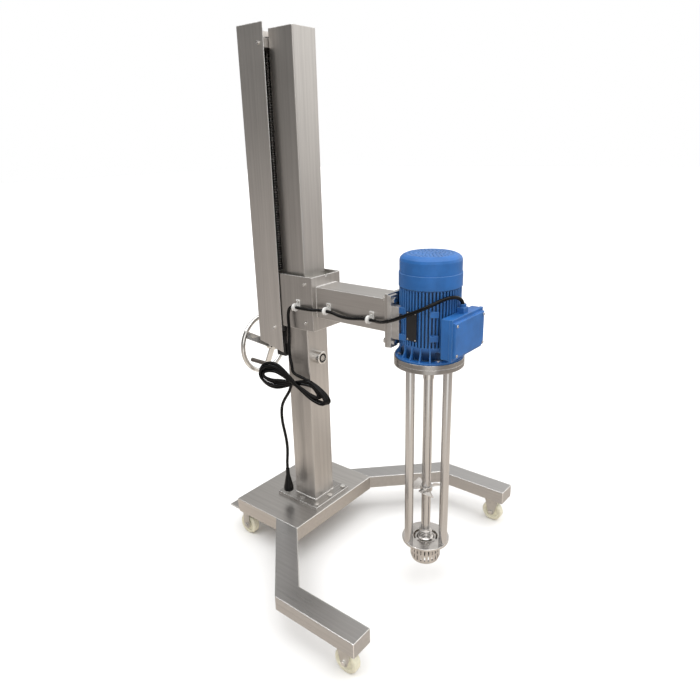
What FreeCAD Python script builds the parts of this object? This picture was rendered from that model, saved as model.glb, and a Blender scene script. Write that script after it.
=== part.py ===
import FreeCAD, Part
import math
import os

# High shear mixer on a wheeled stand with a crank lift. Millimetres, +Z up, +X towards the mixing head.
# The origin is on the floor, under the middle of the machine's outline.

# Driving dimensions: stand
column_side = 100.0
column_wall = 4.0
column_corner = 5.0
column_top_z = 1715.0
deck_rear = 200.0           # behind the column axis
deck_front = 105.0          # ahead of the column axis
deck_width = 416.0
deck_top_z = 149.0
deck_height = 52.0
deck_sheet = 3.0
floor_plate_thick = 4.0
ledge_reach = 47.0          # how far the floor plate sticks out behind the deck
corner_chamfer = 6.0
foot_plate_rear = 103.0
foot_plate_front = 89.0
foot_plate_width = 178.0
foot_plate_thick = 10.0
foot_bolt_r = 5.0
foot_bolt_rows = (-66.0, 5.0, 75.0)
foot_bolt_side = 75.0
bolt_play = 0.25

# Legs and casters
leg_width = 72.0
leg_height = 48.0
leg_wall = 3.0
leg_bottom_z = 100.0
leg_outer_side = 482.0      # outer face of a leg, from the middle plane
leg_root_front = 105.0      # where a leg's inner face meets the deck's side
leg_front = 571.0           # front end of the legs, from the column axis
wheel_r = 38.0
wheel_width = 25.0
wheel_hub_gap = 0.5
wheel_core_r = 30.0
axle_r = 4.0
running_gap = 0.05
cheek_thick = 3.0
fork_plate_thick = 3.0
fork_plate_x = 66.0
fork_plate_y = 60.0
caster_plate_x = 60.0
caster_plate_y = 50.0
fork_top_width = 56.0
fork_low_r = 13.0
front_wheel_x = 519.0
swivel_x = -169.0
swivel_side = 179.0
swivel_trail = 7.0
swivel_race_r = 21.0
swivel_race_high = 6.0
swivel_pin_r = 5.0
swivel_gap = 0.3
rear_cheek_width = 30.0

# Lift: collar, screw, guard, hand drive
collar_side = 140.0
collar_rear = 84.0
collar_front = 97.0
collar_wall = 4.0
collar_bottom_z = 817.0
collar_height = 178.0
collar_notch = 6.0
pad_gap = 0.2
pad_height = 34.0
pad_edge_gap = 26.0
lead_screw_x = -110.0
lead_screw_r = 14.0
thread_depth = 2.5
thread_pitch = 8.0
journal_r = 10.0
nut_r = 20.0
nut_flange_r = 24.0
nut_height = 60.0
nut_flange_high = 8.0
nut_z = 862.0
bracket_half = 28.0
bracket_rear = 138.0
bracket_height = 44.0
guard_side = 150.0
guard_rear = 156.0
guard_front = 45.0
guard_sheet = 1.5
guard_top_z = 1731.0
guard_low_front_z = 721.0
guard_low_rear_z = 746.0
top_block_z = 1664.0
top_block_high = 26.0
guard_fit = 0.1
housing_half = 45.0
housing_rear = 140.0
housing_low_z = 742.0
housing_top_z = 811.0
gear_case_half = 21.0
gear_case_low_z = 682.0
gear_case_wall = 4.0
crank_z = 702.5
crank_shaft_r = 6.0
crank_boss_r = 12.0
crank_boss_reach = 20.0
gear_r = 15.0
gear_small_r = 9.0
gear_gap = 0.4              # moves each bevel gear back from the pitch cone along its own axis
guard_screw_x = -72.0
guard_screw_top_z = 1677.0
guard_screw_low_z = 804.0

# Handwheel
wheel_plane_x = -219.0
hand_rim_r = 104.0          # to the middle of the rim tube
hand_tube_r = 8.0
hand_hub_x = -180.0
hand_hub_r = 17.0
hand_hub_length = 26.0
hand_spoke_width = 25.0
hand_spoke_thick = 6.0
hand_spoke_angle = 148.0
hand_boss_r = 6.5           # round the grip's pin, behind the rim
grip_angle = 287.0
grip_r = 8.0
grip_length = 105.7
grip_pin_r = 3.5

# Arm and motor
arm_side = 100.0
arm_wall = 4.0
arm_bottom_z = 862.0
end_plate_margin = 10.0     # from the motor's foot bolts to the plate's edge
end_plate_thick = 12.0
end_plate_mid_z = 906.0
motor_x = 490.0
motor_foot_height = 90.0
foot_span = 140.0
foot_pitch = 125.0
foot_pad_thick = 12.0
foot_pad_inner = 50.0
foot_pad_outer = 84.0
foot_web_height = 96.0
foot_web_width = 22.0
foot_web_reach = 26.0       # from the pad's front to the cast lugs
foot_lug_half_high = 9.0
foot_lug_rise = 39.0        # of a foot lug's middle above and below the end plate's middle
motor_bolt_r = 4.5
fin_r = 88.0
fin_root_r = 80.0
fin_count = 56
body_bore_r = 68.0
body_low_z = 848.0
body_top_z = 1008.0
cover_r = 90.0
cover_step_z = 1049.0
cover_shoulder_z = 1083.0
cover_top_z = 1100.0
cover_top_r = 70.0
cover_round = ((79.5, 1095.8), (85.5, 1090.2))     # points of the rounded shoulder
cover_sheet = 1.6
cover_vent_r = 3.0
cover_vent_radii = (14.0, 26.0, 38.0, 50.0, 61.0)
cover_vent_counts = (8, 15, 22, 28, 36)
shield_flange_r = 100.0
shield_flange_thick = 5.0
shield_rib_count = 20
shield_rib_thick = 4.0
shield_rib_high = 20.0      # how far a rib slopes in above the flange
shield_rib_gap = 0.5
flange_top_z = 802.5
flange_r = 103.0
flange_thick = 13.7
flange_pcd = 165.0
flange_bolt_r = 5.0
flange_bolt_turn = 42.0
flange_blind = 2.0          # left below a flange bolt's tapped hole
terminal_x = 578.0
terminal_base_depth = 25.0
terminal_half = 85.0
terminal_low_z = 829.0
terminal_high_z = 943.0
terminal_wall = 4.0
terminal_lip = 1.5
cover_rear_depth = 9.0
cover_front_depth = 8.0
cover_front_half = 82.5
cover_front_low_z = 836.0
cover_front_high_z = 935.0
cover_screw_head_r = 4.0
cover_screw_high = 3.0
cover_screw_r = 2.0
gland_x = 592.0
gland_y = 5.0
gland_side = 24.0
gland_height = 16.0
gland_nut_r = 9.5
gland_nut_high = 9.0

# Mixing head
rod_r = 13.5
rod_circle_r = 62.7
rod_turn = 3.0
disc_r = 76.0
disc_top_z = 170.0
disc_thick = 8.0
disc_opening_r = 40.0
hub_r = 21.5
hub_top_z = 196.0
hub_step_r = 16.5
hub_step_z = 201.0
hub_groove_depth = 1.5
hub_groove_z = (178.0, 184.0, 190.0)
spider_width = 9.0
spider_drop = 3.0           # of the hub's arms and their ring below the disc's top
spider_ring_r = 31.0
spider_ring_width = 4.0
shaft_r = 14.5
shaft_low_z = 108.0
motor_shaft_r = 12.0
seal_r = 19.0
seal_step_r = 16.6
seal_step_z = 750.0
seal_low_z = 727.0
head_r = 48.5
head_low_r = 44.0
head_low_z = 91.0
head_chamfer_z = 104.0
head_wall = 4.0
slot_count = 24
slot_width = 4.2
rotor_blade_r = 43.8
rotor_hub_r = 20.0
rotor_low_z = 96.0
rotor_high_z = 150.0
blade_thick = 6.0
propeller_z = 345.0
propeller_r = 47.0
propeller_hub_r = 19.0
propeller_hub_high = 14.0
propeller_thick = 3.0
propeller_pitch = -24.0
propeller_root_half = 13.0
propeller_tip_half = 29.0

# Cable, clips and the free cord
cord_r = 5.25
clip_r = 12.5
clip_width = 9.0
clip_gap = 0.1
clip_tab = 1.6
clip_screw_ahead = 5.0
clip_screw_above = 18.0
cable_z = 893.5
arm_clip_x = (145.0, 316.0)
collar_clip_x = 31.0
hank_x = 12.0               # middle of the hank's crossing
hank_y = -93.0
hank_z = 640.0
hank_turn = 14.5            # the hank's plane, turned about the vertical
hank_thick = 34.0
hank_knot_long = 40.0
hank_knot_high = 44.0
hank_rear_lobe = (-75.0, 4.0, 67.0, 54.0, 0.0)      # along, up, half length, half height, tilt
hank_rear_hole = (-65.0, 5.0, 38.0, 13.0, 0.0)
hank_front_lobe = (72.0, -33.0, 77.0, 29.0, -32.0)
hank_front_hole = (86.0, -40.0, 22.0, 7.0, -32.0)
plug_top_z = 280.0
plug_low_z = 190.0
plug_x = -41.0
plug_y = -95.0
plug_r = 17.5
plug_neck_r = 6.6
plug_shroud = 2.5
plug_pin_r = 2.0
plug_pin_circle = 8.0
screw_head_r = 5.0
screw_head_high = 4.5
screw_r = 3.0

# Push button on the column
button_z = 705.5
button_y = -8.0
button_body_r = 22.5
button_body_reach = 26.0
button_cap_r = 12.0
button_well_depth = 6.0
button_travel = 4.0
button_gap = 0.3

# Where the column stands, so that the outline's middle is at the origin
cover_front_x = terminal_x + terminal_base_depth + cover_rear_depth + cover_front_depth
front_reach = cover_front_x + cover_screw_high
rear_reach = -wheel_plane_x + hand_tube_r + grip_length + swivel_gap
column_x = (rear_reach - front_reach) / 2

# Sizes that follow from the ones above
half_column = column_side / 2
half_deck = deck_width / 2
foot_plate_top_z = deck_top_z + foot_plate_thick
deck_low_z = deck_top_z - deck_height
floor_plate_z = leg_bottom_z + fork_plate_thick
leg_mid_y = leg_outer_side - leg_width / 2
collar_top_z = collar_bottom_z + collar_height
arm_rear = collar_front
arm_front = motor_x - motor_foot_height - end_plate_thick
arm_top_z = arm_bottom_z + arm_side
foot_plane_x = motor_x - motor_foot_height
end_plate_side = foot_span + 2 * end_plate_margin
flange_low_z = flange_top_z - 2 * flange_thick
disc_low_z = disc_top_z - disc_thick
shield_top_z = body_low_z


def at(x, y, z):
    return FreeCAD.Vector(column_x + x, y, z)


def save(shape, node):
    shape.exportStep("parts/" + node + ".step")


def group(solids):
    return Part.makeCompound(solids)


def box(x0, x1, y0, y1, z0, z1):
    return Part.makeBox(x1 - x0, y1 - y0, z1 - z0, at(x0, y0, z0))


def upright(r, x, y, z0, z1):
    return Part.makeCylinder(r, z1 - z0, at(x, y, z0))


def along_x(r, x0, x1, y, z):
    return Part.makeCylinder(r, x1 - x0, at(x0, y, z), FreeCAD.Vector(1, 0, 0))


def along_y(r, x, y0, y1, z):
    return Part.makeCylinder(r, y1 - y0, at(x, y0, z), FreeCAD.Vector(0, 1, 0))


def hexagon(across_flats, length, base, direction):
    corner = across_flats / math.sqrt(3)
    turns = [math.radians(60 * k) for k in range(7)]
    points = [FreeCAD.Vector(corner * math.cos(turn), corner * math.sin(turn), 0) for turn in turns]
    solid = Part.Face(Part.makePolygon(points)).extrude(FreeCAD.Vector(0, 0, length))
    solid.Placement = FreeCAD.Placement(base, FreeCAD.Rotation(FreeCAD.Vector(0, 0, 1), direction))
    return solid


def prism(points, height):
    return Part.Face(Part.makePolygon(points + [points[0]])).extrude(height)


def revolve(profile, x, y):
    face = Part.Face(Part.makePolygon([at(x + r, y, z) for r, z in profile + [profile[0]]]))
    return face.revolve(at(x, y, 0), FreeCAD.Vector(0, 0, 1), 360)


def turned(shape, x, y, angle):
    copy = shape.copy()
    copy.rotate(at(x, y, 0), FreeCAD.Vector(0, 0, 1), angle)
    return copy


def rounded_upright_edges(solid, radius):
    edges = [e for e in solid.Edges if abs(e.tangentAt(e.FirstParameter).z) > 0.99 and e.Length > 4 * radius]
    return solid.makeFillet(radius, edges)


# The stand: deck, floor plate, legs, foot plate, column

def foot_bolt_places():
    places = [(x, side * foot_bolt_side) for x in foot_bolt_rows for side in (-1, 1)]
    return places + [(foot_bolt_rows[0], 0.0), (foot_bolt_rows[-1], 0.0)]


def foot_bolt_holes(z0, z1):
    return group([upright(foot_bolt_r + bolt_play, x, y, z0, z1) for x, y in foot_bolt_places()])


def base_deck():
    body = box(-deck_rear, deck_front, -half_deck, half_deck, deck_low_z, deck_top_z)
    body = body.makeChamfer(corner_chamfer, [e for e in body.Edges if is_rear_low_edge(e)])
    inside = box(-deck_rear + deck_sheet, deck_front - deck_sheet, -half_deck + deck_sheet,
                 half_deck - deck_sheet, deck_low_z, deck_top_z - deck_sheet)
    rear_gap = box(-deck_rear, -deck_rear + deck_sheet, -half_deck + deck_sheet, half_deck - deck_sheet,
                   deck_low_z, floor_plate_z + floor_plate_thick)
    ledge_slots = box(-deck_rear, -deck_rear + deck_sheet, -half_deck, half_deck, deck_low_z,
                      floor_plate_z + floor_plate_thick)
    body = body.cut(inside).cut(rear_gap).cut(ledge_slots)
    return body.cut(foot_bolt_holes(deck_low_z, deck_top_z))


def is_rear_low_edge(edge):
    middle = edge.CenterOfMass
    along = abs(edge.tangentAt(edge.FirstParameter).y)
    return along > 0.99 and abs(middle.z - deck_low_z) < 0.01 and middle.x < column_x - deck_rear + 0.01


def deck_floor_plate():
    inner = half_deck - deck_sheet
    plate = box(-deck_rear + deck_sheet, deck_front - deck_sheet, -inner, inner, floor_plate_z,
                floor_plate_z + floor_plate_thick)
    ledge = box(-deck_rear - ledge_reach, -deck_rear + deck_sheet, -half_deck, half_deck, floor_plate_z,
                floor_plate_z + floor_plate_thick)
    return plate.fuse(ledge).removeSplitter()


def leg_outline(inset):
    slope = math.tan(math.radians(22.5)) * inset
    diagonal = inset * math.sqrt(2)
    inner_side = leg_outer_side - leg_width + inset
    outer_side = leg_outer_side - inset
    inner_bend = leg_root_front + (leg_outer_side - leg_width - half_deck) - slope
    outer_root = leg_root_front - leg_width * math.sqrt(2)
    outer_bend = outer_root + (leg_outer_side - half_deck) + slope
    end = leg_front - inset
    return [(leg_root_front - diagonal, half_deck), (inner_bend, inner_side), (end, inner_side),
            (end, outer_side), (outer_bend, outer_side), (outer_root + diagonal, half_deck)]


def leg(side):
    outer = prism([at(x, side * y, leg_bottom_z) for x, y in leg_outline(0.0)],
                  FreeCAD.Vector(0, 0, leg_height))
    inner = prism([at(x, side * y, leg_bottom_z + leg_wall) for x, y in leg_outline(leg_wall)],
                  FreeCAD.Vector(0, 0, leg_height - 2 * leg_wall))
    return outer.cut(inner)


def foot_plate():
    plate = box(-foot_plate_rear, foot_plate_front, -foot_plate_width / 2, foot_plate_width / 2,
                deck_top_z, foot_plate_top_z)
    return plate.cut(foot_bolt_holes(deck_top_z, foot_plate_top_z))


def foot_bolts():
    head_high = 6.4
    head_flats = 17.0
    nut_high = 8.0
    bolts = []
    for x, y in foot_bolt_places():
        nut_top = deck_top_z - deck_sheet
        head = hexagon(head_flats, head_high, at(x, y, foot_plate_top_z), FreeCAD.Vector(0, 0, 1))
        nut = hexagon(head_flats, nut_high, at(x, y, nut_top - nut_high), FreeCAD.Vector(0, 0, 1))
        shank = upright(foot_bolt_r, x, y, nut_top - nut_high - 3.0, foot_plate_top_z)
        bolts.append(head.fuse(shank).fuse(nut))
    return group(bolts)


def column_tube():
    body = rounded_upright_edges(box(-half_column, half_column, -half_column, half_column,
                                     foot_plate_top_z, column_top_z), column_corner)
    clear = half_column - column_wall
    body = body.cut(box(-clear, clear, -clear, clear, foot_plate_top_z, column_top_z - column_wall))
    return body.cut(along_x(button_neck_r() + bolt_play, clear - 1, half_column + 1, button_y, button_z))


# Casters

def front_fork(side):
    y = side * leg_mid_y
    inner = wheel_width / 2 + 2.5
    top = leg_bottom_z
    plate = box(front_wheel_x - fork_plate_x / 2, front_wheel_x + fork_plate_x / 2, y - fork_plate_y / 2,
                y + fork_plate_y / 2, top - fork_plate_thick, top)
    fork = plate
    for near in (y - inner - cheek_thick, y + inner):
        outline = [at(front_wheel_x - fork_top_width / 2, near, top - fork_plate_thick),
                   at(front_wheel_x + fork_top_width / 2, near, top - fork_plate_thick),
                   at(front_wheel_x + fork_low_r, near, wheel_r),
                   at(front_wheel_x - fork_low_r, near, wheel_r)]
        cheek = prism(outline, FreeCAD.Vector(0, cheek_thick, 0))
        eye = along_y(fork_low_r, front_wheel_x, near, near + cheek_thick, wheel_r)
        fork = fork.fuse(cheek).fuse(eye)
    fork = fork.cut(along_y(axle_r, front_wheel_x, y - 2 * inner, y + 2 * inner, wheel_r))
    return fork.removeSplitter()


def axle(x, y):
    reach = wheel_width / 2 + 2.5 + cheek_thick
    pin = along_y(axle_r, x, y - reach, y + reach, wheel_r)
    head_high = 5.0
    head = hexagon(13.0, head_high, at(x, y + reach, wheel_r), FreeCAD.Vector(0, 1, 0))
    nut = hexagon(13.0, head_high, at(x, y - reach, wheel_r), FreeCAD.Vector(0, -1, 0))
    return pin.fuse(head).fuse(nut)


def wheel(x, y):
    bore = axle_r + running_gap
    half = wheel_width / 2
    hub = half + 2.5 - wheel_hub_gap
    web = half - 4.0
    profile = [(bore, -hub), (11.0, -hub), (11.0, -half), (14.0, -web), (wheel_core_r - 6.0, -web),
               (wheel_core_r - 3.0, -half), (wheel_r - 3.0, -half), (wheel_r, -half + 4.0),
               (wheel_r, half - 4.0), (wheel_r - 3.0, half), (wheel_core_r - 3.0, half),
               (wheel_core_r - 6.0, web), (14.0, web), (11.0, half), (11.0, hub), (bore, hub)]
    points = [at(x, y + along, wheel_r + r) for r, along in profile]
    face = Part.Face(Part.makePolygon(points + [points[0]]))
    return face.revolve(at(x, y, wheel_r), FreeCAD.Vector(0, 1, 0), 360)


def rear_caster_plate(side):
    y = side * swivel_side
    top = floor_plate_z
    low = top - fork_plate_thick
    plate = box(swivel_x - caster_plate_x / 2, swivel_x + caster_plate_x / 2, y - caster_plate_y / 2,
                y + caster_plate_y / 2, low, top)
    race = upright(swivel_race_r, swivel_x, y, low - swivel_race_high, low)
    head_top = low - swivel_race_high - swivel_gap - cheek_thick - swivel_gap
    pin = upright(swivel_pin_r, swivel_x, y, head_top - 3.0, low)
    head = upright(swivel_pin_r + 3.5, swivel_x, y, head_top - 3.0, head_top)
    return plate.fuse(race).fuse(pin).fuse(head)


def rear_fork(side):
    y = side * swivel_side
    x = swivel_x - swivel_trail
    top = floor_plate_z - fork_plate_thick - swivel_race_high - swivel_gap
    inner = wheel_width / 2 + 2.5
    crown = upright(swivel_race_r - 1.0, swivel_x, y, top - cheek_thick, top)
    half = rear_cheek_width / 2
    crown = crown.fuse(box(x - half, x + half, y - inner - cheek_thick, y + inner + cheek_thick,
                           top - cheek_thick, top))
    for near in (y - inner - cheek_thick, y + inner):
        crown = crown.fuse(box(x - half, x + half, near, near + cheek_thick, wheel_r, top - cheek_thick))
        crown = crown.fuse(along_y(half, x, near, near + cheek_thick, wheel_r))
    crown = crown.cut(upright(swivel_pin_r + running_gap, swivel_x, y, top - 2 * cheek_thick, top + 1))
    crown = crown.cut(along_y(axle_r, x, y - 2 * inner, y + 2 * inner, wheel_r))
    return group([crown.removeSplitter(), axle(x, y)])


# The lift

def slide_collar():
    half = collar_side / 2
    body = box(-collar_rear, collar_front, -half, half, collar_bottom_z, collar_top_z)
    body = rounded_upright_edges(body, 2.0)
    hollow = box(-collar_rear + collar_wall, collar_front - collar_wall, -half + collar_wall,
                 half - collar_wall, collar_bottom_z, collar_top_z)
    notch = box(collar_front - 2 * collar_wall, collar_front + 1, -collar_notch / 2, collar_notch / 2,
                collar_top_z - collar_notch, collar_top_z + 1)
    body = body.cut(hollow).cut(notch)
    for x, z in collar_screw_places():
        body = body.cut(along_y(screw_r + clip_gap, x, -half - 1, -half + collar_wall + 1, z))
        body = body.cut(along_y(screw_r + clip_gap, x, half - collar_wall - 1, half + 1, z))
    return body.cut(along_y(screw_r + clip_gap, collar_clip_x + clip_screw_ahead, -half - 1,
                            -half + collar_wall + 1, cable_z + clip_screw_above))


def collar_screw_places():
    inset = pad_edge_gap + pad_height / 2
    return [(65.0, collar_top_z - inset + 18.0), (65.0, collar_bottom_z + inset - 18.0)]


def wear_pads():
    half = collar_side / 2 - collar_wall
    near = half_column + pad_gap
    pads = []
    levels = [collar_bottom_z + 2.0, collar_top_z - pad_edge_gap - pad_height + 8.0]
    for z in levels:
        front = box(near, collar_front - collar_wall, -half, half, z, z + pad_height)
        for _, screw_z in collar_screw_places():
            front = front.cut(along_y(screw_r + clip_gap, 65.0, -half - 1, half + 1, screw_z))
        pads.append(front)
        pads.append(box(-collar_rear + collar_wall, -near, -half_column, half_column, z, z + pad_height))
        for side in (-1, 1):
            low = min(side * near, side * half)
            high = max(side * near, side * half)
            pads.append(box(-half_column, half_column, low, high, z, z + pad_height))
    return group(pads)


def nut_bracket():
    z0 = nut_z
    z1 = nut_z + bracket_height
    block = box(-bracket_rear, -collar_rear, -bracket_half, bracket_half, z0, z1)
    gussets = [box(-bracket_rear + 6.0, -collar_rear, side - 3.0, side + 3.0, z1, z1 + 30.0)
               for side in (-bracket_half + 3.0, bracket_half - 3.0)]
    block = block.fuse(gussets[0]).fuse(gussets[1])
    return block.cut(upright(nut_r, lead_screw_x, 0, z0 - 1, z1 + 40.0))


def lead_nut():
    sleeve = upright(nut_r, lead_screw_x, 0, nut_z, nut_z + nut_height - nut_flange_high)
    flange = upright(nut_flange_r, lead_screw_x, 0, nut_z - nut_flange_high, nut_z)
    bore = upright(lead_screw_r + running_gap, lead_screw_x, 0, nut_z - 20.0, nut_z + nut_height + 20.0)
    return sleeve.fuse(flange).cut(bore)


def lead_screw():
    low = housing_top_z + 3.0
    high = top_block_z - 4.0
    profile = [(0.0, gear_top_z()), (journal_r, gear_top_z()), (journal_r, low), (lead_screw_r, low)]
    turns = int((high - low) / thread_pitch) - 1
    flat = thread_pitch / 4
    z = low + flat
    for _ in range(turns):
        profile += [(lead_screw_r, z), (lead_screw_r - thread_depth, z + flat / 2),
                    (lead_screw_r - thread_depth, z + 1.5 * flat + flat), (lead_screw_r, z + 3 * flat)]
        z += thread_pitch
    profile += [(lead_screw_r, high), (journal_r, high), (journal_r, top_block_z + top_block_high + 14.0),
                (0.0, top_block_z + top_block_high + 14.0)]
    gear = gear_blank()
    gear.Placement = FreeCAD.Placement(at(lead_screw_x, 0, gear_top_z()),
                                       FreeCAD.Rotation(FreeCAD.Vector(0, 0, 1), FreeCAD.Vector(0, 0, -1)))
    return group([revolve(profile, lead_screw_x, 0), gear])


def gear_top_z():
    return crank_z + gear_r + gear_gap


def gear_blank():
    return Part.makeCone(gear_r, gear_small_r, gear_r - gear_small_r)


def screw_guard():
    half = guard_side / 2
    outline = [at(-guard_rear, -half, guard_low_rear_z), at(-guard_front, -half, guard_low_front_z),
               at(-guard_front, -half, guard_top_z), at(-guard_rear, -half, guard_top_z)]
    body = prism(outline, FreeCAD.Vector(0, guard_side, 0))
    inside = box(-guard_rear + guard_sheet, -guard_front + 10.0, -half + guard_sheet, half - guard_sheet,
                 guard_low_front_z - 10.0, guard_top_z + 10.0)
    body = body.cut(inside)
    for x, z in guard_screw_places():
        body = body.cut(along_y(screw_r + clip_gap, x, -half - 1, half + 1, z))
    return body


def guard_screw_places():
    return [(guard_screw_x + 5.0, guard_screw_top_z), (guard_screw_x - 8.0, guard_screw_low_z)]


def side_screw(x, face_y, z, depth):
    inward = 1.0 if face_y < 0 else -1.0
    head_base = min(face_y, face_y - inward * screw_head_high)
    head = along_y(screw_head_r, x, head_base, head_base + screw_head_high, z)
    shank_base = min(face_y, face_y + inward * depth)
    shank = along_y(screw_r, x, shank_base, shank_base + depth, z)
    socket_base = face_y - inward * screw_head_high if inward > 0 else face_y + screw_head_high
    socket = hexagon(4.0, 3.0, at(x, socket_base, z), FreeCAD.Vector(0, inward, 0))
    return head.fuse(shank).cut(socket)


def guard_screws():
    half = guard_side / 2
    return group([side_screw(x, side * half, z, 14.0) for x, z in guard_screw_places() for side in (-1, 1)])


def top_bearing():
    half = guard_side / 2 - guard_sheet - guard_fit
    z1 = top_block_z + top_block_high
    block = box(-guard_rear + guard_sheet + guard_fit, -half_column, -half, half, top_block_z, z1)
    block = block.cut(upright(journal_r + running_gap, lead_screw_x, 0, top_block_z - 1, z1 + 1))
    for side in (-1, 1):
        x, z = guard_screw_places()[0]
        block = block.cut(along_y(screw_r + clip_gap, x, min(side * half, side * (half - 16.0)),
                                  max(side * half, side * (half - 16.0)), z))
    return block


def gear_housing():
    half = guard_side / 2 - guard_sheet - guard_fit
    block = box(-housing_rear, -half_column, -housing_half, housing_half, housing_low_z, housing_top_z)
    ears = box(-housing_rear + 36.0, -half_column, -half, half, housing_top_z - 18.0, housing_top_z)
    case_x = lead_screw_x
    case = box(case_x - gear_case_half, case_x + gear_case_half, -gear_case_half, gear_case_half,
               gear_case_low_z, housing_low_z)
    strap = box(case_x + gear_case_half, -half_column, -gear_case_half + 6.0, gear_case_half - 6.0,
                gear_case_low_z + 8.0, housing_low_z)
    inner = gear_case_half - gear_case_wall
    cavity = box(case_x - inner, case_x + inner, -inner, inner, gear_case_low_z + gear_case_wall,
                 gear_top_z() + 2.0)
    boss_rear = case_x - gear_case_half - crank_boss_reach
    boss = along_x(crank_boss_r, boss_rear, case_x - gear_case_half, 0, crank_z)
    body = block.fuse(ears).fuse(case).fuse(strap).fuse(boss).cut(cavity)
    body = body.cut(upright(journal_r + running_gap, lead_screw_x, 0, gear_top_z(), housing_top_z + 1))
    body = body.cut(along_x(crank_shaft_r + running_gap, boss_rear - 1, case_x - inner + 1, 0, crank_z))
    for side in (-1, 1):
        x, z = guard_screw_places()[1]
        body = body.cut(along_y(screw_r + clip_gap, x, min(side * half, side * (half - 16.0)),
                                max(side * half, side * (half - 16.0)), z))
    return body.removeSplitter()


# The handwheel

def rim_point(angle, radius):
    return radius * math.cos(math.radians(angle)), crank_z + radius * math.sin(math.radians(angle))


def handwheel():
    rim = Part.makeTorus(hand_rim_r, hand_tube_r, at(wheel_plane_x, 0, crank_z), FreeCAD.Vector(1, 0, 0))
    hub_rear = hand_hub_x - hand_hub_length / 2
    hub_front = hand_hub_x + hand_hub_length / 2
    body = rim.fuse(along_x(hand_hub_r, hub_rear, hub_front, 0, crank_z))
    for turn in (0, 120, 240):
        body = body.fuse(hand_spoke(hand_spoke_angle + turn))
    y, z = rim_point(grip_angle, hand_rim_r)
    boss = along_x(hand_boss_r, wheel_plane_x - hand_tube_r, wheel_plane_x, y, z)
    body = body.fuse(boss)
    body = body.cut(along_x(crank_shaft_r, hub_rear - 1, hub_front + 1, 0, crank_z))
    return body.cut(along_x(grip_pin_r, wheel_plane_x - 20.0, wheel_plane_x + 20.0, y, z))


def hand_spoke(angle):
    flat = hand_spoke_thick / 2
    wide = hand_spoke_width / 2
    start = FreeCAD.Vector(hand_hub_x, hand_hub_r - 4.0, 0)
    end = FreeCAD.Vector(wheel_plane_x, hand_rim_r - 2.0, 0)
    along = end.sub(start)
    across = FreeCAD.Vector(along.y, -along.x, 0)
    across.normalize()
    half = across * flat
    corners = [start.add(half), end.add(half), end.sub(half), start.sub(half)]
    points = [FreeCAD.Vector(p.x, p.y, -wide) for p in corners]
    bar = prism(points, FreeCAD.Vector(0, 0, 2 * wide))
    bar.rotate(FreeCAD.Vector(0, 0, 0), FreeCAD.Vector(1, 0, 0), angle)
    bar.translate(at(0, 0, crank_z))
    return bar


def handwheel_shaft():
    gear_x = lead_screw_x - gear_r - gear_gap
    rod = along_x(crank_shaft_r, hand_hub_x - hand_hub_length / 2 - 4.0, gear_x, 0, crank_z)
    gear = gear_blank()
    gear.Placement = FreeCAD.Placement(at(gear_x, 0, crank_z),
                                       FreeCAD.Rotation(FreeCAD.Vector(0, 0, 1), FreeCAD.Vector(1, 0, 0)))
    y, z = rim_point(grip_angle, hand_rim_r)
    pin = along_x(grip_pin_r, wheel_plane_x - hand_tube_r - grip_length + 6.0, wheel_plane_x + 4.0, y, z)
    return group([rod, gear, pin])


def handwheel_grip():
    y, z = rim_point(grip_angle, hand_rim_r)
    rear = wheel_plane_x - hand_tube_r - swivel_gap - grip_length
    front = rear + grip_length
    grip = along_x(grip_r, rear, front, y, z)
    grip = grip.makeFillet(2.5, grip.Edges)
    return grip.cut(along_x(grip_pin_r + running_gap, rear + 4.0, front + 1, y, z))


# The arm and the motor

def arm_tube():
    half = arm_side / 2
    body = box(arm_rear, arm_front, -half, half, arm_bottom_z, arm_top_z)
    clear = half - arm_wall
    for x in arm_clip_x:
        body = body.cut(along_y(screw_r + clip_gap, x + clip_screw_ahead, -half - 1, -clear + 1,
                                cable_z + clip_screw_above))
    return body.cut(box(arm_rear, arm_front, -clear, clear, arm_bottom_z + arm_wall, arm_top_z - arm_wall))


def motor_bolt_places():
    return [(side_y * foot_span / 2, end_plate_mid_z + side_z * foot_pitch / 2)
            for side_y in (-1, 1) for side_z in (-1, 1)]


def arm_end_plate():
    half = end_plate_side / 2
    plate = box(arm_front, foot_plane_x, -half, half, end_plate_mid_z - half, end_plate_mid_z + half)
    for y, z in motor_bolt_places():
        plate = plate.cut(along_x(motor_bolt_r + bolt_play, arm_front - 1, foot_plane_x + 1, y, z))
    return plate


def motor_feet():
    feet = []
    half = end_plate_side / 2 - 3.0
    web = foot_web_height / 2
    for side in (-1, 1):
        y0 = min(side * foot_pad_inner, side * foot_pad_outer)
        y1 = max(side * foot_pad_inner, side * foot_pad_outer)
        pad = box(foot_plane_x, foot_plane_x + foot_pad_thick, y0, y1, end_plate_mid_z - half,
                  end_plate_mid_z + half)
        mid = side * foot_span / 2
        front = foot_plane_x + foot_pad_thick
        rib = box(front, front + foot_web_reach, mid - foot_web_width / 2,
                  mid + foot_web_width / 2, end_plate_mid_z - web, end_plate_mid_z + web)
        foot = pad.fuse(rib)
        for y, z in motor_bolt_places():
            foot = foot.cut(along_x(motor_bolt_r + bolt_play, foot_plane_x - 1,
                                    foot_plane_x + foot_pad_thick + 1, y, z))
        feet.append(foot.cut(upright(fin_r, motor_x, 0, body_low_z - 60.0, body_top_z)))
    return group(feet)


def motor_bolts():
    flats = 16.0
    bolts = []
    for y, z in motor_bolt_places():
        front = foot_plane_x + foot_pad_thick
        shank = along_x(motor_bolt_r, arm_front - 9.0, front, y, z)
        head = hexagon(flats, 7.0, at(front, y, z), FreeCAD.Vector(1, 0, 0))
        nut = hexagon(flats, 7.0, at(arm_front, y, z), FreeCAD.Vector(-1, 0, 0))
        bolts.append(shank.fuse(head).fuse(nut))
    return group(bolts)


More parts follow.
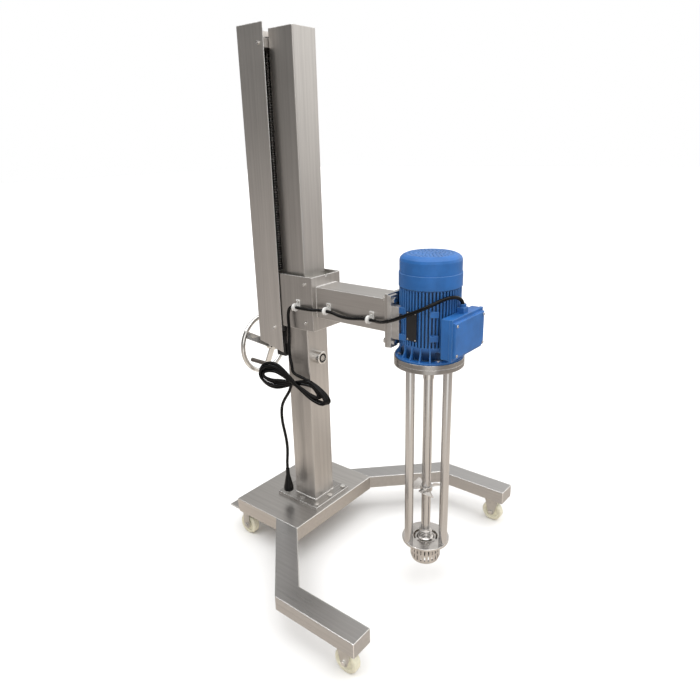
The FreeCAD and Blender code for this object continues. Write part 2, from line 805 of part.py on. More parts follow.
def motor_housing():
    points = []
    step = 360.0 / fin_count
    for k in range(fin_count):
        for offset, r in ((-0.25, fin_root_r), (-0.25, fin_r), (0.25, fin_r), (0.25, fin_root_r)):
            angle = math.radians(step * (k + offset))
            points.append(at(motor_x + r * math.cos(angle), r * math.sin(angle), body_low_z))
    body = prism(points, FreeCAD.Vector(0, 0, body_top_z - body_low_z))
    pad_z = (terminal_low_z + 14.0, terminal_high_z - 14.0)
    pad = box(motor_x + fin_root_r - 10.0, terminal_x, -46.0, 46.0, max(pad_z[0], body_low_z), pad_z[1])
    body = body.fuse(pad)
    for z in (947.0, 878.0):
        lug = box(motor_x + fin_root_r - 4.0, motor_x + fin_r + 8.0, -12.0, 12.0, z - 8.0, z + 8.0)
        lug = lug.cut(along_y(3.5, motor_x + fin_r + 3.0, -13.0, 13.0, z))
        for angle in (-51.0, 51.0):
            body = body.fuse(turned(lug, motor_x, 0, angle))
    for side_y in (-1, 1):
        for side_z in (-1, 1):
            body = body.fuse(foot_lug(side_y, side_z))
    body = body.cut(upright(body_bore_r, motor_x, 0, body_low_z - 1, body_top_z + 1))
    return body.removeSplitter()


def foot_lug(side_y, side_z):
    mid_y = side_y * foot_span / 2
    mid_z = end_plate_mid_z + side_z * foot_lug_rise
    return box(foot_plane_x + foot_pad_thick + foot_web_reach, motor_x - 20.0, mid_y - foot_web_width / 2,
               mid_y + foot_web_width / 2, mid_z - foot_lug_half_high, mid_z + foot_lug_half_high)


def motor_stator():
    outer = upright(body_bore_r, motor_x, 0, body_low_z + 18.0, body_top_z - 22.0)
    return outer.cut(upright(46.0, motor_x, 0, body_low_z, body_top_z))


def motor_rotor():
    core = upright(45.5, motor_x, 0, body_low_z + 22.0, body_top_z - 26.0)
    return core.cut(upright(motor_shaft_r, motor_x, 0, body_low_z, body_top_z))


def motor_bearings():
    rings = []
    for z in (shield_top_z - 20.0, body_top_z - 14.0):
        outer = upright(26.0, motor_x, 0, z, z + 14.0)
        rings.append(outer.cut(upright(motor_shaft_r + running_gap, motor_x, 0, z - 1, z + 15.0)))
    return group(rings)


def fan_end_shield():
    bearing_r = 26.0
    disc = upright(body_bore_r, motor_x, 0, body_top_z - 20.0, body_top_z)
    return disc.cut(upright(bearing_r, motor_x, 0, body_top_z - 21.0, body_top_z + 1))


def drive_end_shield():
    top = shield_top_z
    foot = flange_top_z + shield_flange_thick
    profile = [(26.0, flange_top_z), (shield_flange_r, flange_top_z), (shield_flange_r, foot), (76.0, foot),
               (fin_r - 2.0, top), (body_bore_r - 6.0, top), (52.0, top - 6.0), (26.0, top - 6.0)]
    body = revolve(profile, motor_x, 0)
    rib_points = [at(motor_x + 72.0, -shield_rib_thick / 2, foot - 1.0),
                  at(motor_x + shield_flange_r - 2.0, -shield_rib_thick / 2, foot - 1.0),
                  at(motor_x + fin_r - shield_rib_gap, -shield_rib_thick / 2, foot + shield_rib_high),
                  at(motor_x + fin_r - shield_rib_gap, -shield_rib_thick / 2, top),
                  at(motor_x + 72.0, -shield_rib_thick / 2, top)]
    rib = prism(rib_points, FreeCAD.Vector(0, shield_rib_thick, 0))
    step = 360.0 / shield_rib_count
    ribs = [turned(rib, motor_x, 0, flange_bolt_turn + step * (k + 0.5)) for k in range(shield_rib_count)]
    body = body.fuse(ribs)
    for x, y in flange_bolt_places():
        body = body.cut(upright(flange_bolt_r + bolt_play, x, y, flange_top_z - 1, foot + 1))
        body = body.cut(upright(9.5, x, y, foot, top - 14.0))
    ring = upright(body_bore_r, motor_x, 0, top - 1, top + 30)
    return body.cut(ring).removeSplitter()


def flange_bolt_places():
    r = flange_pcd / 2 + 4.0
    places = []
    for k in range(4):
        angle = math.radians(-flange_bolt_turn + 90 * k)
        places.append((motor_x + r * math.cos(angle), r * math.sin(angle)))
    return places


def flange_bolts():
    bolts = []
    flats = 15.0
    foot = flange_top_z + shield_flange_thick
    for x, y in flange_bolt_places():
        head = hexagon(flats, 6.5, at(x, y, foot), FreeCAD.Vector(0, 0, 1))
        shank = upright(flange_bolt_r, x, y, flange_low_z + flange_blind, foot)
        bolts.append(shank.fuse(head))
    return group(bolts)


def flange_plates():
    plates = []
    for k in range(2):
        top = flange_top_z - k * flange_thick
        plate = upright(flange_r, motor_x, 0, top - flange_thick, top)
        plate = plate.makeChamfer(0.8, [e for e in plate.Edges if e.Closed and e.Length > 6 * flange_r])
        plate = plate.cut(upright(shaft_r + 3.0, motor_x, 0, top - flange_thick - 1, top + 1))
        hole_r = flange_bolt_r + bolt_play * (1 - k)
        hole_low = top - flange_thick - 1 + k * (1 + flange_blind)
        for x, y in flange_bolt_places():
            plate = plate.cut(upright(hole_r, x, y, hole_low, top + 1))
        plates.append(plate)
    return group(plates)


def fan_cover():
    low = body_top_z
    outer = [(0.0, cover_top_z), (cover_top_r, cover_top_z), *cover_round, (cover_r - 2.0, cover_shoulder_z),
             (cover_r - 2.0, cover_step_z), (cover_r, cover_step_z), (cover_r, low + 3.0), (0.0, low + 3.0)]
    t = cover_sheet
    inner = [(0.0, cover_top_z - t), (cover_top_r - t / 2, cover_top_z - t),
             *[(r - t, z - t) for r, z in cover_round], (cover_r - 2.0 - t, cover_shoulder_z - t / 2), (cover_r - 2.0 - t, low), (0.0, low)]
    body = revolve(outer, motor_x, 0).cut(revolve(inner, motor_x, 0))
    vents = []
    for ring_r, count in zip(cover_vent_radii, cover_vent_counts):
        for k in range(count):
            angle = 2 * math.pi * k / count
            vents.append(upright(cover_vent_r, motor_x + ring_r * math.cos(angle), ring_r * math.sin(angle),
                                 cover_top_z - 2 * t, cover_top_z + 1))
    body = body.cut(group(vents))
    fin_ring = upright(fin_r, motor_x, 0, low, low + 9.0)
    fin_ring = fin_ring.cut(upright(fin_r - 6.0, motor_x, 0, low, low + 9.0))
    spacer = revolve([(fin_r - 7.0, low + 3.0), (cover_r, low + 3.0), (cover_r, low + 7.0),
                      (fin_r - 7.0, low + 7.0)], motor_x, 0)
    seat_profile = [(fin_r - 7.0, low), (fin_r - 2.0, low),
                    (fin_r - 2.0, low + 7.0), (fin_r - 7.0, low + 7.0)]
    seat = revolve(seat_profile, motor_x, 0)
    return body.fuse(spacer).fuse(seat.common(fin_ring)).removeSplitter()


def cooling_fan():
    z0 = body_top_z + 14.0
    hub = upright(24.0, motor_x, 0, z0, z0 + 34.0)
    disc = upright(70.0, motor_x, 0, z0, z0 + 3.0)
    fan = hub.fuse(disc)
    for k in range(7):
        blade = box(motor_x + 20.0, motor_x + 70.0, -1.5, 1.5, z0, z0 + 30.0)
        fan = fan.fuse(turned(blade, motor_x, 0, k * 360.0 / 7))
    return fan.cut(upright(motor_shaft_r, motor_x, 0, z0 - 1, z0 + 40.0)).removeSplitter()


def terminal_box():
    x0 = terminal_x
    x1 = terminal_x + terminal_base_depth
    body = box(x0, x1, -terminal_half, terminal_half, terminal_low_z, terminal_high_z)
    inside = box(x0 + terminal_wall, x1, -terminal_half + terminal_wall, terminal_half - terminal_wall,
                 terminal_low_z + terminal_wall, terminal_high_z - terminal_wall)
    body = body.cut(inside)
    return body.cut(upright(cord_r + 1.0, gland_x, gland_y, terminal_high_z - 2 * terminal_wall,
                            terminal_high_z + 1))


def terminal_cover():
    x0 = terminal_x + terminal_base_depth
    x1 = x0 + cover_rear_depth
    x2 = x1 + cover_front_depth
    side = terminal_half + terminal_lip
    rear = box(x0, x1, -side, side, terminal_low_z - terminal_lip, terminal_high_z + terminal_lip)
    front = box(x1, x2, -cover_front_half, cover_front_half, cover_front_low_z, cover_front_high_z)
    front = front.makeFillet(3.0, [e for e in front.Edges if e.CenterOfMass.x > column_x + x2 - 0.1])
    inside = box(x0, x2 - terminal_wall, -cover_front_half + terminal_wall, cover_front_half - terminal_wall,
                 cover_front_low_z + terminal_wall, cover_front_high_z - terminal_wall)
    cover = rear.fuse(front).cut(inside)
    for y, z in cover_screw_places():
        cover = cover.cut(along_x(cover_screw_r + clip_gap, x0, x2 + 1, y, z))
    return cover.removeSplitter()


def cable_gland():
    half = gland_side / 2
    z0 = terminal_high_z
    block = box(gland_x - half, gland_x + half - 2.0, gland_y - half, gland_y + half, z0, z0 + gland_height)
    nut = upright(gland_nut_r, gland_x, gland_y, z0 + gland_height, z0 + gland_height + gland_nut_high)
    gland = block.fuse(nut)
    return gland.cut(upright(cord_r, gland_x, gland_y, z0 - 1, z0 + gland_height + gland_nut_high + 1))


# The mixing head

def rod_places():
    return [(motor_x + rod_circle_r * math.cos(math.radians(rod_turn + 120 * k)),
             rod_circle_r * math.sin(math.radians(rod_turn + 120 * k))) for k in range(3)]


def support_rods():
    return group([upright(rod_r, x, y, disc_top_z, flange_low_z) for x, y in rod_places()])


def seal_collar():
    collar = revolve([(0.0, flange_low_z), (seal_r, flange_low_z), (seal_r, seal_step_z),
                      (seal_step_r, seal_step_z - 3.0), (seal_step_r, seal_low_z), (0.0, seal_low_z)],
                     motor_x, 0)
    return collar.cut(upright(shaft_r + running_gap, motor_x, 0, seal_low_z - 1, flange_low_z + 1))


def head_disc():
    plate = upright(disc_r, motor_x, 0, disc_low_z, disc_top_z)
    plate = plate.makeChamfer(1.0, [e for e in plate.Edges if e.Closed and e.Length > 6 * disc_r])
    plate = plate.cut(upright(disc_opening_r, motor_x, 0, disc_low_z - 1, disc_top_z + 1))
    profile = [(0.0, disc_low_z), (hub_r + 4.0, disc_low_z), (hub_r + 4.0, disc_top_z),
               (hub_r, disc_top_z + 3.0)]
    for z in hub_groove_z:
        deep = hub_r - hub_groove_depth
        profile += [(hub_r, z - 1.5), (deep, z - 0.7), (deep, z + 0.7), (hub_r, z + 1.5)]
    profile += [(hub_r, hub_top_z), (hub_step_r + 1.0, hub_top_z + 1.0), (hub_step_r, hub_step_z),
                (0.0, hub_step_z)]
    plate = plate.fuse(revolve(profile, motor_x, 0))
    low_top = disc_top_z - spider_drop
    half_ring = spider_ring_width / 2
    ring = upright(spider_ring_r + half_ring, motor_x, 0, disc_low_z, low_top)
    plate = plate.fuse(ring.cut(upright(spider_ring_r - half_ring, motor_x, 0, disc_low_z, low_top)))
    for k in range(3):
        arm = box(motor_x + hub_r, motor_x + disc_opening_r + 2.0, -spider_width / 2, spider_width / 2,
                  disc_low_z, low_top)
        plate = plate.fuse(turned(arm, motor_x, 0, rod_turn + 120 * k))
    plate = plate.cut(upright(shaft_r + running_gap, motor_x, 0, disc_low_z - 1, hub_step_z + 1))
    return plate.removeSplitter()


def stator_head():
    profile = [(head_r - head_wall, disc_low_z), (head_r, disc_low_z), (head_r, head_chamfer_z),
               (head_low_r, head_low_z), (head_low_r - 12.0, head_low_z),
               (head_low_r - 12.0, head_low_z + 4.0), (head_r - head_wall, head_low_z + 4.0)]
    body = revolve(profile, motor_x, 0)
    half = slot_width / 2
    rows = ((head_chamfer_z + 22.0, disc_low_z - 6.0), (head_chamfer_z - 1.0, head_chamfer_z + 16.0))
    cuts = []
    for z0, z1 in rows:
        for k in range(slot_count // 2):
            bar = box(motor_x - head_r - 1, motor_x + head_r + 1, -half, half, z0, z1)
            cuts.append(turned(bar, motor_x, 0, k * 360.0 / slot_count))
    return body.cut(group(cuts))


def rotor_head():
    hub = upright(rotor_hub_r, motor_x, 0, rotor_low_z, rotor_high_z - 8.0)
    head = hub
    for k in range(2):
        blade = box(motor_x - rotor_blade_r, motor_x + rotor_blade_r, -blade_thick / 2, blade_thick / 2,
                    rotor_low_z, rotor_high_z - 14.0)
        head = head.fuse(turned(blade, motor_x, 0, 90.0 * k))
    head = head.cut(upright(shaft_r, motor_x, 0, shaft_low_z, rotor_high_z + 1))
    return head.removeSplitter()


def mixer_shaft():
    step_z = flange_low_z + 16.0
    lower = upright(shaft_r, motor_x, 0, shaft_low_z, step_z)
    upper = upright(motor_shaft_r, motor_x, 0, step_z, body_top_z + 54.0)
    return lower.fuse(upper).removeSplitter()


def propeller():
    hub = upright(propeller_hub_r, motor_x, 0, propeller_z, propeller_z + propeller_hub_high)
    body = hub
    for k in range(3):
        low = -propeller_thick / 2
        corners = [FreeCAD.Vector(shaft_r + 2.0, -propeller_root_half, low),
                   FreeCAD.Vector(shaft_r + 2.0, propeller_root_half, low),
                   FreeCAD.Vector(propeller_r + 2.0, propeller_tip_half, low),
                   FreeCAD.Vector(propeller_r + 2.0, -propeller_tip_half, low)]
        blade = prism(corners, FreeCAD.Vector(0, 0, propeller_thick))
        blade.rotate(FreeCAD.Vector(0, 0, 0), FreeCAD.Vector(1, 0, 0), propeller_pitch)
        blade.translate(at(motor_x, 0, propeller_z + propeller_hub_high / 2))
        body = body.fuse(turned(blade, motor_x, 0, 300.0 + 120 * k))
    limit = upright(propeller_r, motor_x, 0, propeller_z - 40.0, propeller_z + 60.0)
    body = body.common(limit)
    return body.cut(upright(shaft_r, motor_x, 0, propeller_z - 60.0, propeller_z + 60.0)).removeSplitter()


# Push button on the column

def button_neck_r():
    return button_body_r - 7.0


def button_body():
    x0 = half_column
    x1 = half_column + button_body_reach
    body = along_x(button_body_r, x0, x1, button_y, button_z)
    front = [e for e in body.Edges if e.CenterOfMass.x > column_x + x1 - 0.1]
    body = body.makeFillet(2.0, front)
    neck = along_x(button_neck_r(), half_column - column_wall - 10.0, x0, button_y, button_z)
    well = along_x(button_cap_r + button_gap, x1 - 2 * button_well_depth, x1 + 1, button_y, button_z)
    return body.fuse(neck).cut(well).removeSplitter()


def push_button():
    x1 = half_column + button_body_reach
    x0 = x1 - 2 * button_well_depth + button_travel + button_gap
    cap = along_x(button_cap_r, x0, x1 - 0.5, button_y, button_z)
    return cap.makeFillet(1.2, [e for e in cap.Edges if e.CenterOfMass.x > column_x + x1 - 1.0])


# Cable, clips and free cord

def route_edges(points):
    edges = []
    start = points[0]
    for before, corner, after in zip(points, points[1:], points[2:]):
        run_in = corner.sub(before)
        run_out = after.sub(corner)
        turn = run_in.getAngle(run_out)
        radius = 0.45 * min(run_in.Length, run_out.Length) / math.tan(turn / 2)
        back = radius * math.tan(turn / 2)
        first = corner.sub(FreeCAD.Vector(run_in).normalize() * back)
        last = corner.add(FreeCAD.Vector(run_out).normalize() * back)
        bisector = FreeCAD.Vector(run_out).normalize().sub(FreeCAD.Vector(run_in).normalize())
        centre = corner.add(bisector.normalize() * (radius / math.cos(turn / 2)))
        middle = centre.add(corner.sub(centre).normalize() * radius)
        edges.append(Part.LineSegment(start, first).toShape())
        edges.append(Part.Arc(first, middle, last).toShape())
        print("turn", round(math.degrees(turn)), "radius", round(radius), "run", round(run_in.Length))
        start = last
    edges.append(Part.LineSegment(start, points[-1]).toShape())
    return edges


def tube_along(points, r):
    wire = Part.Wire(route_edges(points))
    first = points[1].sub(points[0])
    ring = Part.Wire(Part.makeCircle(r, points[0], first))
    tube = wire.makePipeShell([ring], True, False)
    expected = math.pi * r * r * wire.Length
    print("tube length", round(wire.Length), "volume share", round(tube.Volume / expected, 4))
    return tube


def arm_cable_y():
    return -arm_side / 2 - clip_wall() - cord_r


def collar_cable_y():
    return -collar_side / 2 - clip_wall() - cord_r


def clip_wall():
    return clip_r - cord_r


def motor_cable():
    arm_y = arm_cable_y()
    collar_y = collar_cable_y()
    points = [(gland_x, gland_y, 958.0), (gland_x, gland_y, 974.0), (587.0, -14.0, 989.0),
              (578.0, -40.0, 993.0), (565.0, -64.0, 988.0), (546.0, -86.0, 976.0), (519.0, -100.0, 961.0),
              (487.0, -107.0, 946.0), (455.0, -106.0, 931.0), (425.0, -100.0, 917.0), (394.0, -93.0, 906.0),
              (366.0, -78.0, 897.0), (arm_clip_x[1] + 22.0, arm_y, cable_z),
              (arm_clip_x[1] - 22.0, arm_y, cable_z), (250.0, arm_y - 1.0, cable_z - 8.0),
              (205.0, arm_y - 1.0, cable_z - 8.0), (arm_clip_x[0] + 22.0, arm_y, cable_z),
              (arm_clip_x[0] - 20.0, arm_y, cable_z), (98.0, collar_y, cable_z + 1.0),
              (72.0, collar_y - 2.0, cable_z + 1.0), (collar_clip_x + 20.0, collar_y, cable_z),
              (collar_clip_x - clip_width / 2, collar_y, cable_z)]
    return tube_along([at(*p) for p in points], cord_r)


def cord_drop():
    points = [(collar_clip_x - clip_width / 2, collar_cable_y(), cable_z), (12.0, -83.0, cable_z),
              (1.0, -84.0, 878.0), (-1.0, -85.0, 852.0), (3.0, -87.0, 810.0), (0.0, -89.0, 765.0),
              (1.0, -91.0, 722.0), (hank_x, hank_y, 688.0), (hank_x, hank_y, hank_z + hank_knot_high / 2)]
    return tube_along([at(*p) for p in points], cord_r)


def cord_tail():
    knot_low = hank_z - hank_knot_high / 2
    points = [(4.0, hank_y - 2.0, knot_low), (4.0, hank_y - 2.0, 601.0), (-11.0, hank_y - 3.0, 574.0),
              (-40.0, -98.0, 544.0), (-51.0, -97.0, 505.0), (-50.0, -96.0, 460.0), (-42.0, -94.0, 420.0),
              (-36.0, -93.0, 376.0), (-37.0, -94.0, 338.0), (plug_x, plug_y, 306.0),
              (plug_x, plug_y, plug_top_z)]
    return tube_along([at(*p) for p in points], cord_r)


def hank_lobe(spec, thick):
    along, up, half_long, half_high, tilt = spec
    ring = Part.makeCircle(1.0, FreeCAD.Vector(0, 0, 0), FreeCAD.Vector(0, 1, 0))
    stretch = FreeCAD.Matrix()
    stretch.A11 = half_long
    stretch.A33 = half_high
    disc = Part.Face(Part.Wire(ring.transformGeometry(stretch))).extrude(FreeCAD.Vector(0, thick, 0))
    disc.translate(FreeCAD.Vector(0, -thick / 2, 0))
    disc.rotate(FreeCAD.Vector(0, 0, 0), FreeCAD.Vector(0, 1, 0), -tilt)
    disc.translate(FreeCAD.Vector(along, 0, up))
    return disc


def cord_hank():
    knot = Part.makeBox(hank_knot_long, hank_thick, hank_knot_high,
                        FreeCAD.Vector(-hank_knot_long / 2, -hank_thick / 2, -hank_knot_high / 2))
    hank = hank_lobe(hank_rear_lobe, hank_thick).fuse(hank_lobe(hank_front_lobe, hank_thick))
    hank = hank.cut(hank_lobe(hank_rear_hole, 2 * hank_thick)).cut(hank_lobe(hank_front_hole, 2 * hank_thick))
    hank = hank.fuse(knot).removeSplitter()
    hank.rotate(FreeCAD.Vector(0, 0, 0), FreeCAD.Vector(0, 0, 1), hank_turn)
    hank.translate(at(hank_x, hank_y, hank_z))
    return hank


def power_plug():
    neck_low = plug_top_z - 25.0
    profile = [(0.0, plug_top_z), (plug_neck_r, plug_top_z), (plug_neck_r + 0.8, neck_low),
               (plug_r - 3.0, plug_low_z + 30.0), (plug_r, plug_low_z + 16.0), (plug_r, plug_low_z + 3.0),
               (plug_r - 2.0, plug_low_z), (0.0, plug_low_z)]
    body = revolve(profile, plug_x, plug_y)
    recess = upright(plug_r - plug_shroud - 1.0, plug_x, plug_y, plug_low_z - 1, plug_low_z + 20.0)
    body = body.cut(recess)
    pins = []
    for k in range(3):
        angle = math.radians(90 + 120 * k)
        pins.append(upright(plug_pin_r, plug_x + plug_pin_circle * math.cos(angle),
                            plug_y + plug_pin_circle * math.sin(angle), plug_low_z + 4.0, plug_low_z + 20.0))
    return group([body] + pins)


def cable_clip(x, face_y):
    y = face_y - clip_r
    ring = along_x(clip_r, x - clip_width / 2, x + clip_width / 2, y, cable_z)
    tab_top = cable_z + clip_screw_above + screw_head_r + 1.0
    tab = box(x - clip_width / 2, x + clip_screw_ahead + screw_head_r + 1.0, face_y - clip_tab, face_y,
              cable_z, tab_top)
    clip = ring.fuse(tab)
    clip = clip.cut(along_x(cord_r + clip_gap, x - clip_width, x + clip_width, y, cable_z))
    clip = clip.cut(box(x - 2 * clip_width, x + 4 * clip_width, face_y, face_y + 5.0, 0.0, 2 * cable_z))
    return clip.cut(along_y(screw_r + clip_gap, x + clip_screw_ahead, face_y - 5.0, face_y + 1.0,
                            cable_z + clip_screw_above))


def clip_places():
    arm_face = -arm_side / 2
    return [(collar_clip_x, -collar_side / 2)] + [(x, arm_face) for x in arm_clip_x]


def cable_clips():
    return group([cable_clip(x, face_y) for x, face_y in clip_places()])


def cover_screw_places():
    inset = 8.0
    return [(side * (cover_front_half - inset), z) for side in (-1, 1)
            for z in (cover_front_low_z + inset, cover_front_high_z - inset)]


def cap_screws():
    screws = []
    for x, face_y in clip_places():
        screws.append(side_screw(x + clip_screw_ahead, face_y - clip_tab, cable_z + clip_screw_above,
                                 clip_tab + arm_wall))
    for x, z in collar_screw_places():
        for side in (-1, 1):
            screws.append(side_screw(x, side * collar_side / 2, z, 15.0))
    for y, z in cover_screw_places():
        head = along_x(cover_screw_head_r, cover_front_x, cover_front_x + cover_screw_high, y, z)
        shank = along_x(cover_screw_r, cover_front_x - 2 * terminal_wall, cover_front_x, y, z)
        screws.append(head.fuse(shank))
    return group(screws)


def main():
    os.makedirs("parts", exist_ok=True)
    save(base_deck(), "base_deck")
    save(deck_floor_plate(), "deck_floor_plate")
    save(leg(1), "leg_left")
    save(leg(-1), "leg_right")
    save(foot_plate(), "foot_plate")
    save(foot_bolts(), "foot_bolts")
    save(column_tube(), "column_tube")
    save(group([front_fork(1), front_fork(-1)]), "front_caster_forks")
    save(group([axle(front_wheel_x, leg_mid_y), axle(front_wheel_x, -leg_mid_y)]), "front_caster_axles")
    save(group([rear_caster_plate(1), rear_caster_plate(-1)]), "rear_caster_plates")
    save(rear_fork(1), "rear_fork_left")
    save(rear_fork(-1), "rear_fork_right")
    save(wheel(front_wheel_x, leg_mid_y), "wheel_front_left")
    save(wheel(front_wheel_x, -leg_mid_y), "wheel_front_right")
    save(wheel(swivel_x - swivel_trail, swivel_side), "wheel_rear_left")
    save(wheel(swivel_x - swivel_trail, -swivel_side), "wheel_rear_right")
    save(slide_collar(), "slide_collar")
    save(wear_pads(), "wear_pads")
    save(nut_bracket(), "nut_bracket")
    save(lead_nut(), "lead_nut")
    save(lead_screw(), "lead_screw")
    save(screw_guard(), "screw_guard")
    save(guard_screws(), "guard_screws")
    save(top_bearing(), "top_bearing")
    save(gear_housing(), "gear_housing")
    save(handwheel(), "handwheel")
    save(handwheel_shaft(), "handwheel_shaft")
    save(handwheel_grip(), "handwheel_grip")
    save(arm_tube(), "arm_tube")
    save(arm_end_plate(), "arm_end_plate")
    save(motor_feet(), "motor_feet")
    save(motor_bolts(), "motor_bolts")
    save(motor_housing(), "motor_housing")
    save(motor_stator(), "motor_stator")
    save(motor_rotor(), "motor_rotor")
    save(motor_bearings(), "motor_bearings")
    save(group([drive_end_shield(), fan_end_shield()]), "end_shields")
    save(flange_plates(), "flange_plates")
    save(flange_bolts(), "flange_bolts")
    save(fan_cover(), "fan_cover")
    save(cooling_fan(), "cooling_fan")
    save(terminal_box(), "terminal_box")
    save(terminal_cover(), "terminal_cover")
    save(cable_gland(), "cable_gland")
    save(support_rods(), "support_rods")
    save(seal_collar(), "seal_collar")
    save(head_disc(), "head_disc")
    save(stator_head(), "stator_head")
    save(rotor_head(), "rotor_head")
    save(mixer_shaft(), "mixer_shaft")
    save(propeller(), "propeller")
    save(button_body(), "button_body")
    save(push_button(), "push_button")
    save(motor_cable(), "motor_cable")
    save(cable_clips(), "cable_clips")
    save(cap_screws(), "cap_screws")
    save(cord_drop(), "cord_drop")
    save(cord_hank(), "cord_hank")
    save(cord_tail(), "cord_tail")
    save(power_plug(), "power_plug")


main()
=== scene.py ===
"""Looks of a high shear mixer on a wheeled lift stand: finishes, cable, small details and studio."""

import math

import bmesh
import bpy
from bpy.props import FloatProperty, FloatVectorProperty, IntProperty, PointerProperty
from mathutils import Matrix, Vector


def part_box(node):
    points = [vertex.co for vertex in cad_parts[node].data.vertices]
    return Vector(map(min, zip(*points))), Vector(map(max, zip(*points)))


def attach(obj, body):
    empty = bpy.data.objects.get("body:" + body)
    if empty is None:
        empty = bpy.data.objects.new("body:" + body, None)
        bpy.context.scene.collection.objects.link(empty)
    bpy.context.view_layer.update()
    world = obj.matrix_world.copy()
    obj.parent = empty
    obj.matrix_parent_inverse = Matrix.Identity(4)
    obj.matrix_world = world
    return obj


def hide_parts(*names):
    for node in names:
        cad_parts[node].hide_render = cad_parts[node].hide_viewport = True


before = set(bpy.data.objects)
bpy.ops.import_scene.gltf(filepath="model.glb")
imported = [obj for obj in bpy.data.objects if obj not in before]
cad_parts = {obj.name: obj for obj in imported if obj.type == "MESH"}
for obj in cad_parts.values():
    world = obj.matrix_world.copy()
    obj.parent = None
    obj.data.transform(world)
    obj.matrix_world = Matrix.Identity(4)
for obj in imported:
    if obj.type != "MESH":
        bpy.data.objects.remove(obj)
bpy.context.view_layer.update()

bl_info = {
    "name": "High Shear Mixer Looks",
    "version": (1, 0, 0),
    "blender": (4, 5, 0),
    "location": "3D View > Sidebar > Mixer",
    "description": "Finishes, cable, details and studio for a high shear mixer on a lift stand",
    "category": "Object",
}

# Places taken from the frame, in metres
column_low, column_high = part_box("column_tube")
column_x = (column_low.x + column_high.x) / 2
column_half = (column_high.x - column_low.x) / 2
foot_plate_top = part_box("foot_plate")[1].z
cover_low, cover_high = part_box("fan_cover")
motor_x = (cover_low.x + cover_high.x) / 2
arm_low, arm_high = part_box("arm_tube")
cap_low, cap_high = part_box("push_button")
button_y = (cap_low.y + cap_high.y) / 2
button_z = (cap_low.z + cap_high.z) / 2
button_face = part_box("button_body")[1].x

# Reach of the motor's fins from its axis, and where the painted shade between them starts and ends, in
# metres
FIN_RADIUS = 0.088
FIN_SHADE = (FIN_RADIUS - 0.0075, FIN_RADIUS - 0.002)

# Radii of the push button's painted rim and thin ring, each as (where it starts, where it is full)
CAP_RIM = (0.0088, 0.0094)
CAP_RING_INSIDE = (0.0040, 0.0044)
CAP_RING_OUTSIDE = (0.0052, 0.0056)

# Outline of the ring round the button, as (radius, height over the button's body)
BUTTON_RING = (
    (0.0126, 0.0), (0.0126, 0.0006), (0.0130, 0.0009), (0.0158, 0.0009), (0.0162, 0.0006), (0.0162, 0.0),
)

# The motor's blank plate: its thickness and soft edge, and its rivets' outline and distance from the edges
PLATE_THICK = 0.0036
PLATE_EDGE = 0.0005
RIVET_DOME = ((0.0, 0.0), (0.0022, 0.0), (0.0021, 0.0005), (0.0014, 0.0010), (0.0, 0.0012))
RIVET_INSET = 0.004

# Weld beads: a ripple's length and its share of the bead's thickness, the facets round a bead, and how far
# the bead at the column's foot cuts the corners
RIPPLE_LENGTH = 0.0016
RIPPLE_SHARE = 0.14
BEAD_SIDES = 8
BEAD_CORNER = 0.004

# The cable's route in metres from the column's axis, with the height from the floor
MOTOR_CABLE_ROUTE = (
    (0.592, 0.005, 0.958), (0.592, 0.005, 0.974), (0.587, -0.014, 0.989), (0.578, -0.040, 0.993),
    (0.565, -0.064, 0.988), (0.546, -0.086, 0.976), (0.519, -0.100, 0.961), (0.487, -0.107, 0.946),
    (0.455, -0.106, 0.931), (0.425, -0.100, 0.917), (0.394, -0.093, 0.906), (0.366, -0.078, 0.897),
    (0.338, -0.0625, 0.8935), (0.294, -0.0625, 0.8935), (0.250, -0.0635, 0.8855), (0.205, -0.0635, 0.8855),
    (0.167, -0.0625, 0.8935), (0.125, -0.0625, 0.8935), (0.098, -0.0825, 0.8945), (0.072, -0.0845, 0.8945),
    (0.051, -0.0825, 0.8935), (0.0265, -0.0825, 0.8935),
)
CORD_DROP_ROUTE = (
    (0.0265, -0.0825, 0.8935), (0.012, -0.083, 0.8935), (0.001, -0.084, 0.878), (-0.001, -0.085, 0.852),
    (0.003, -0.087, 0.810), (0.000, -0.089, 0.765), (0.001, -0.091, 0.722), (0.012, -0.093, 0.688),
    (0.012, -0.093, 0.662),
)
CORD_TAIL_ROUTE = (
    (0.010, -0.095, 0.628), (0.001, -0.095, 0.610), (-0.007, -0.096, 0.590), (-0.040, -0.098, 0.544),
    (-0.051, -0.097, 0.505), (-0.050, -0.096, 0.460), (-0.042, -0.094, 0.420), (-0.036, -0.093, 0.376),
    (-0.037, -0.094, 0.338), (-0.041, -0.095, 0.306), (-0.041, -0.095, 0.280),
)

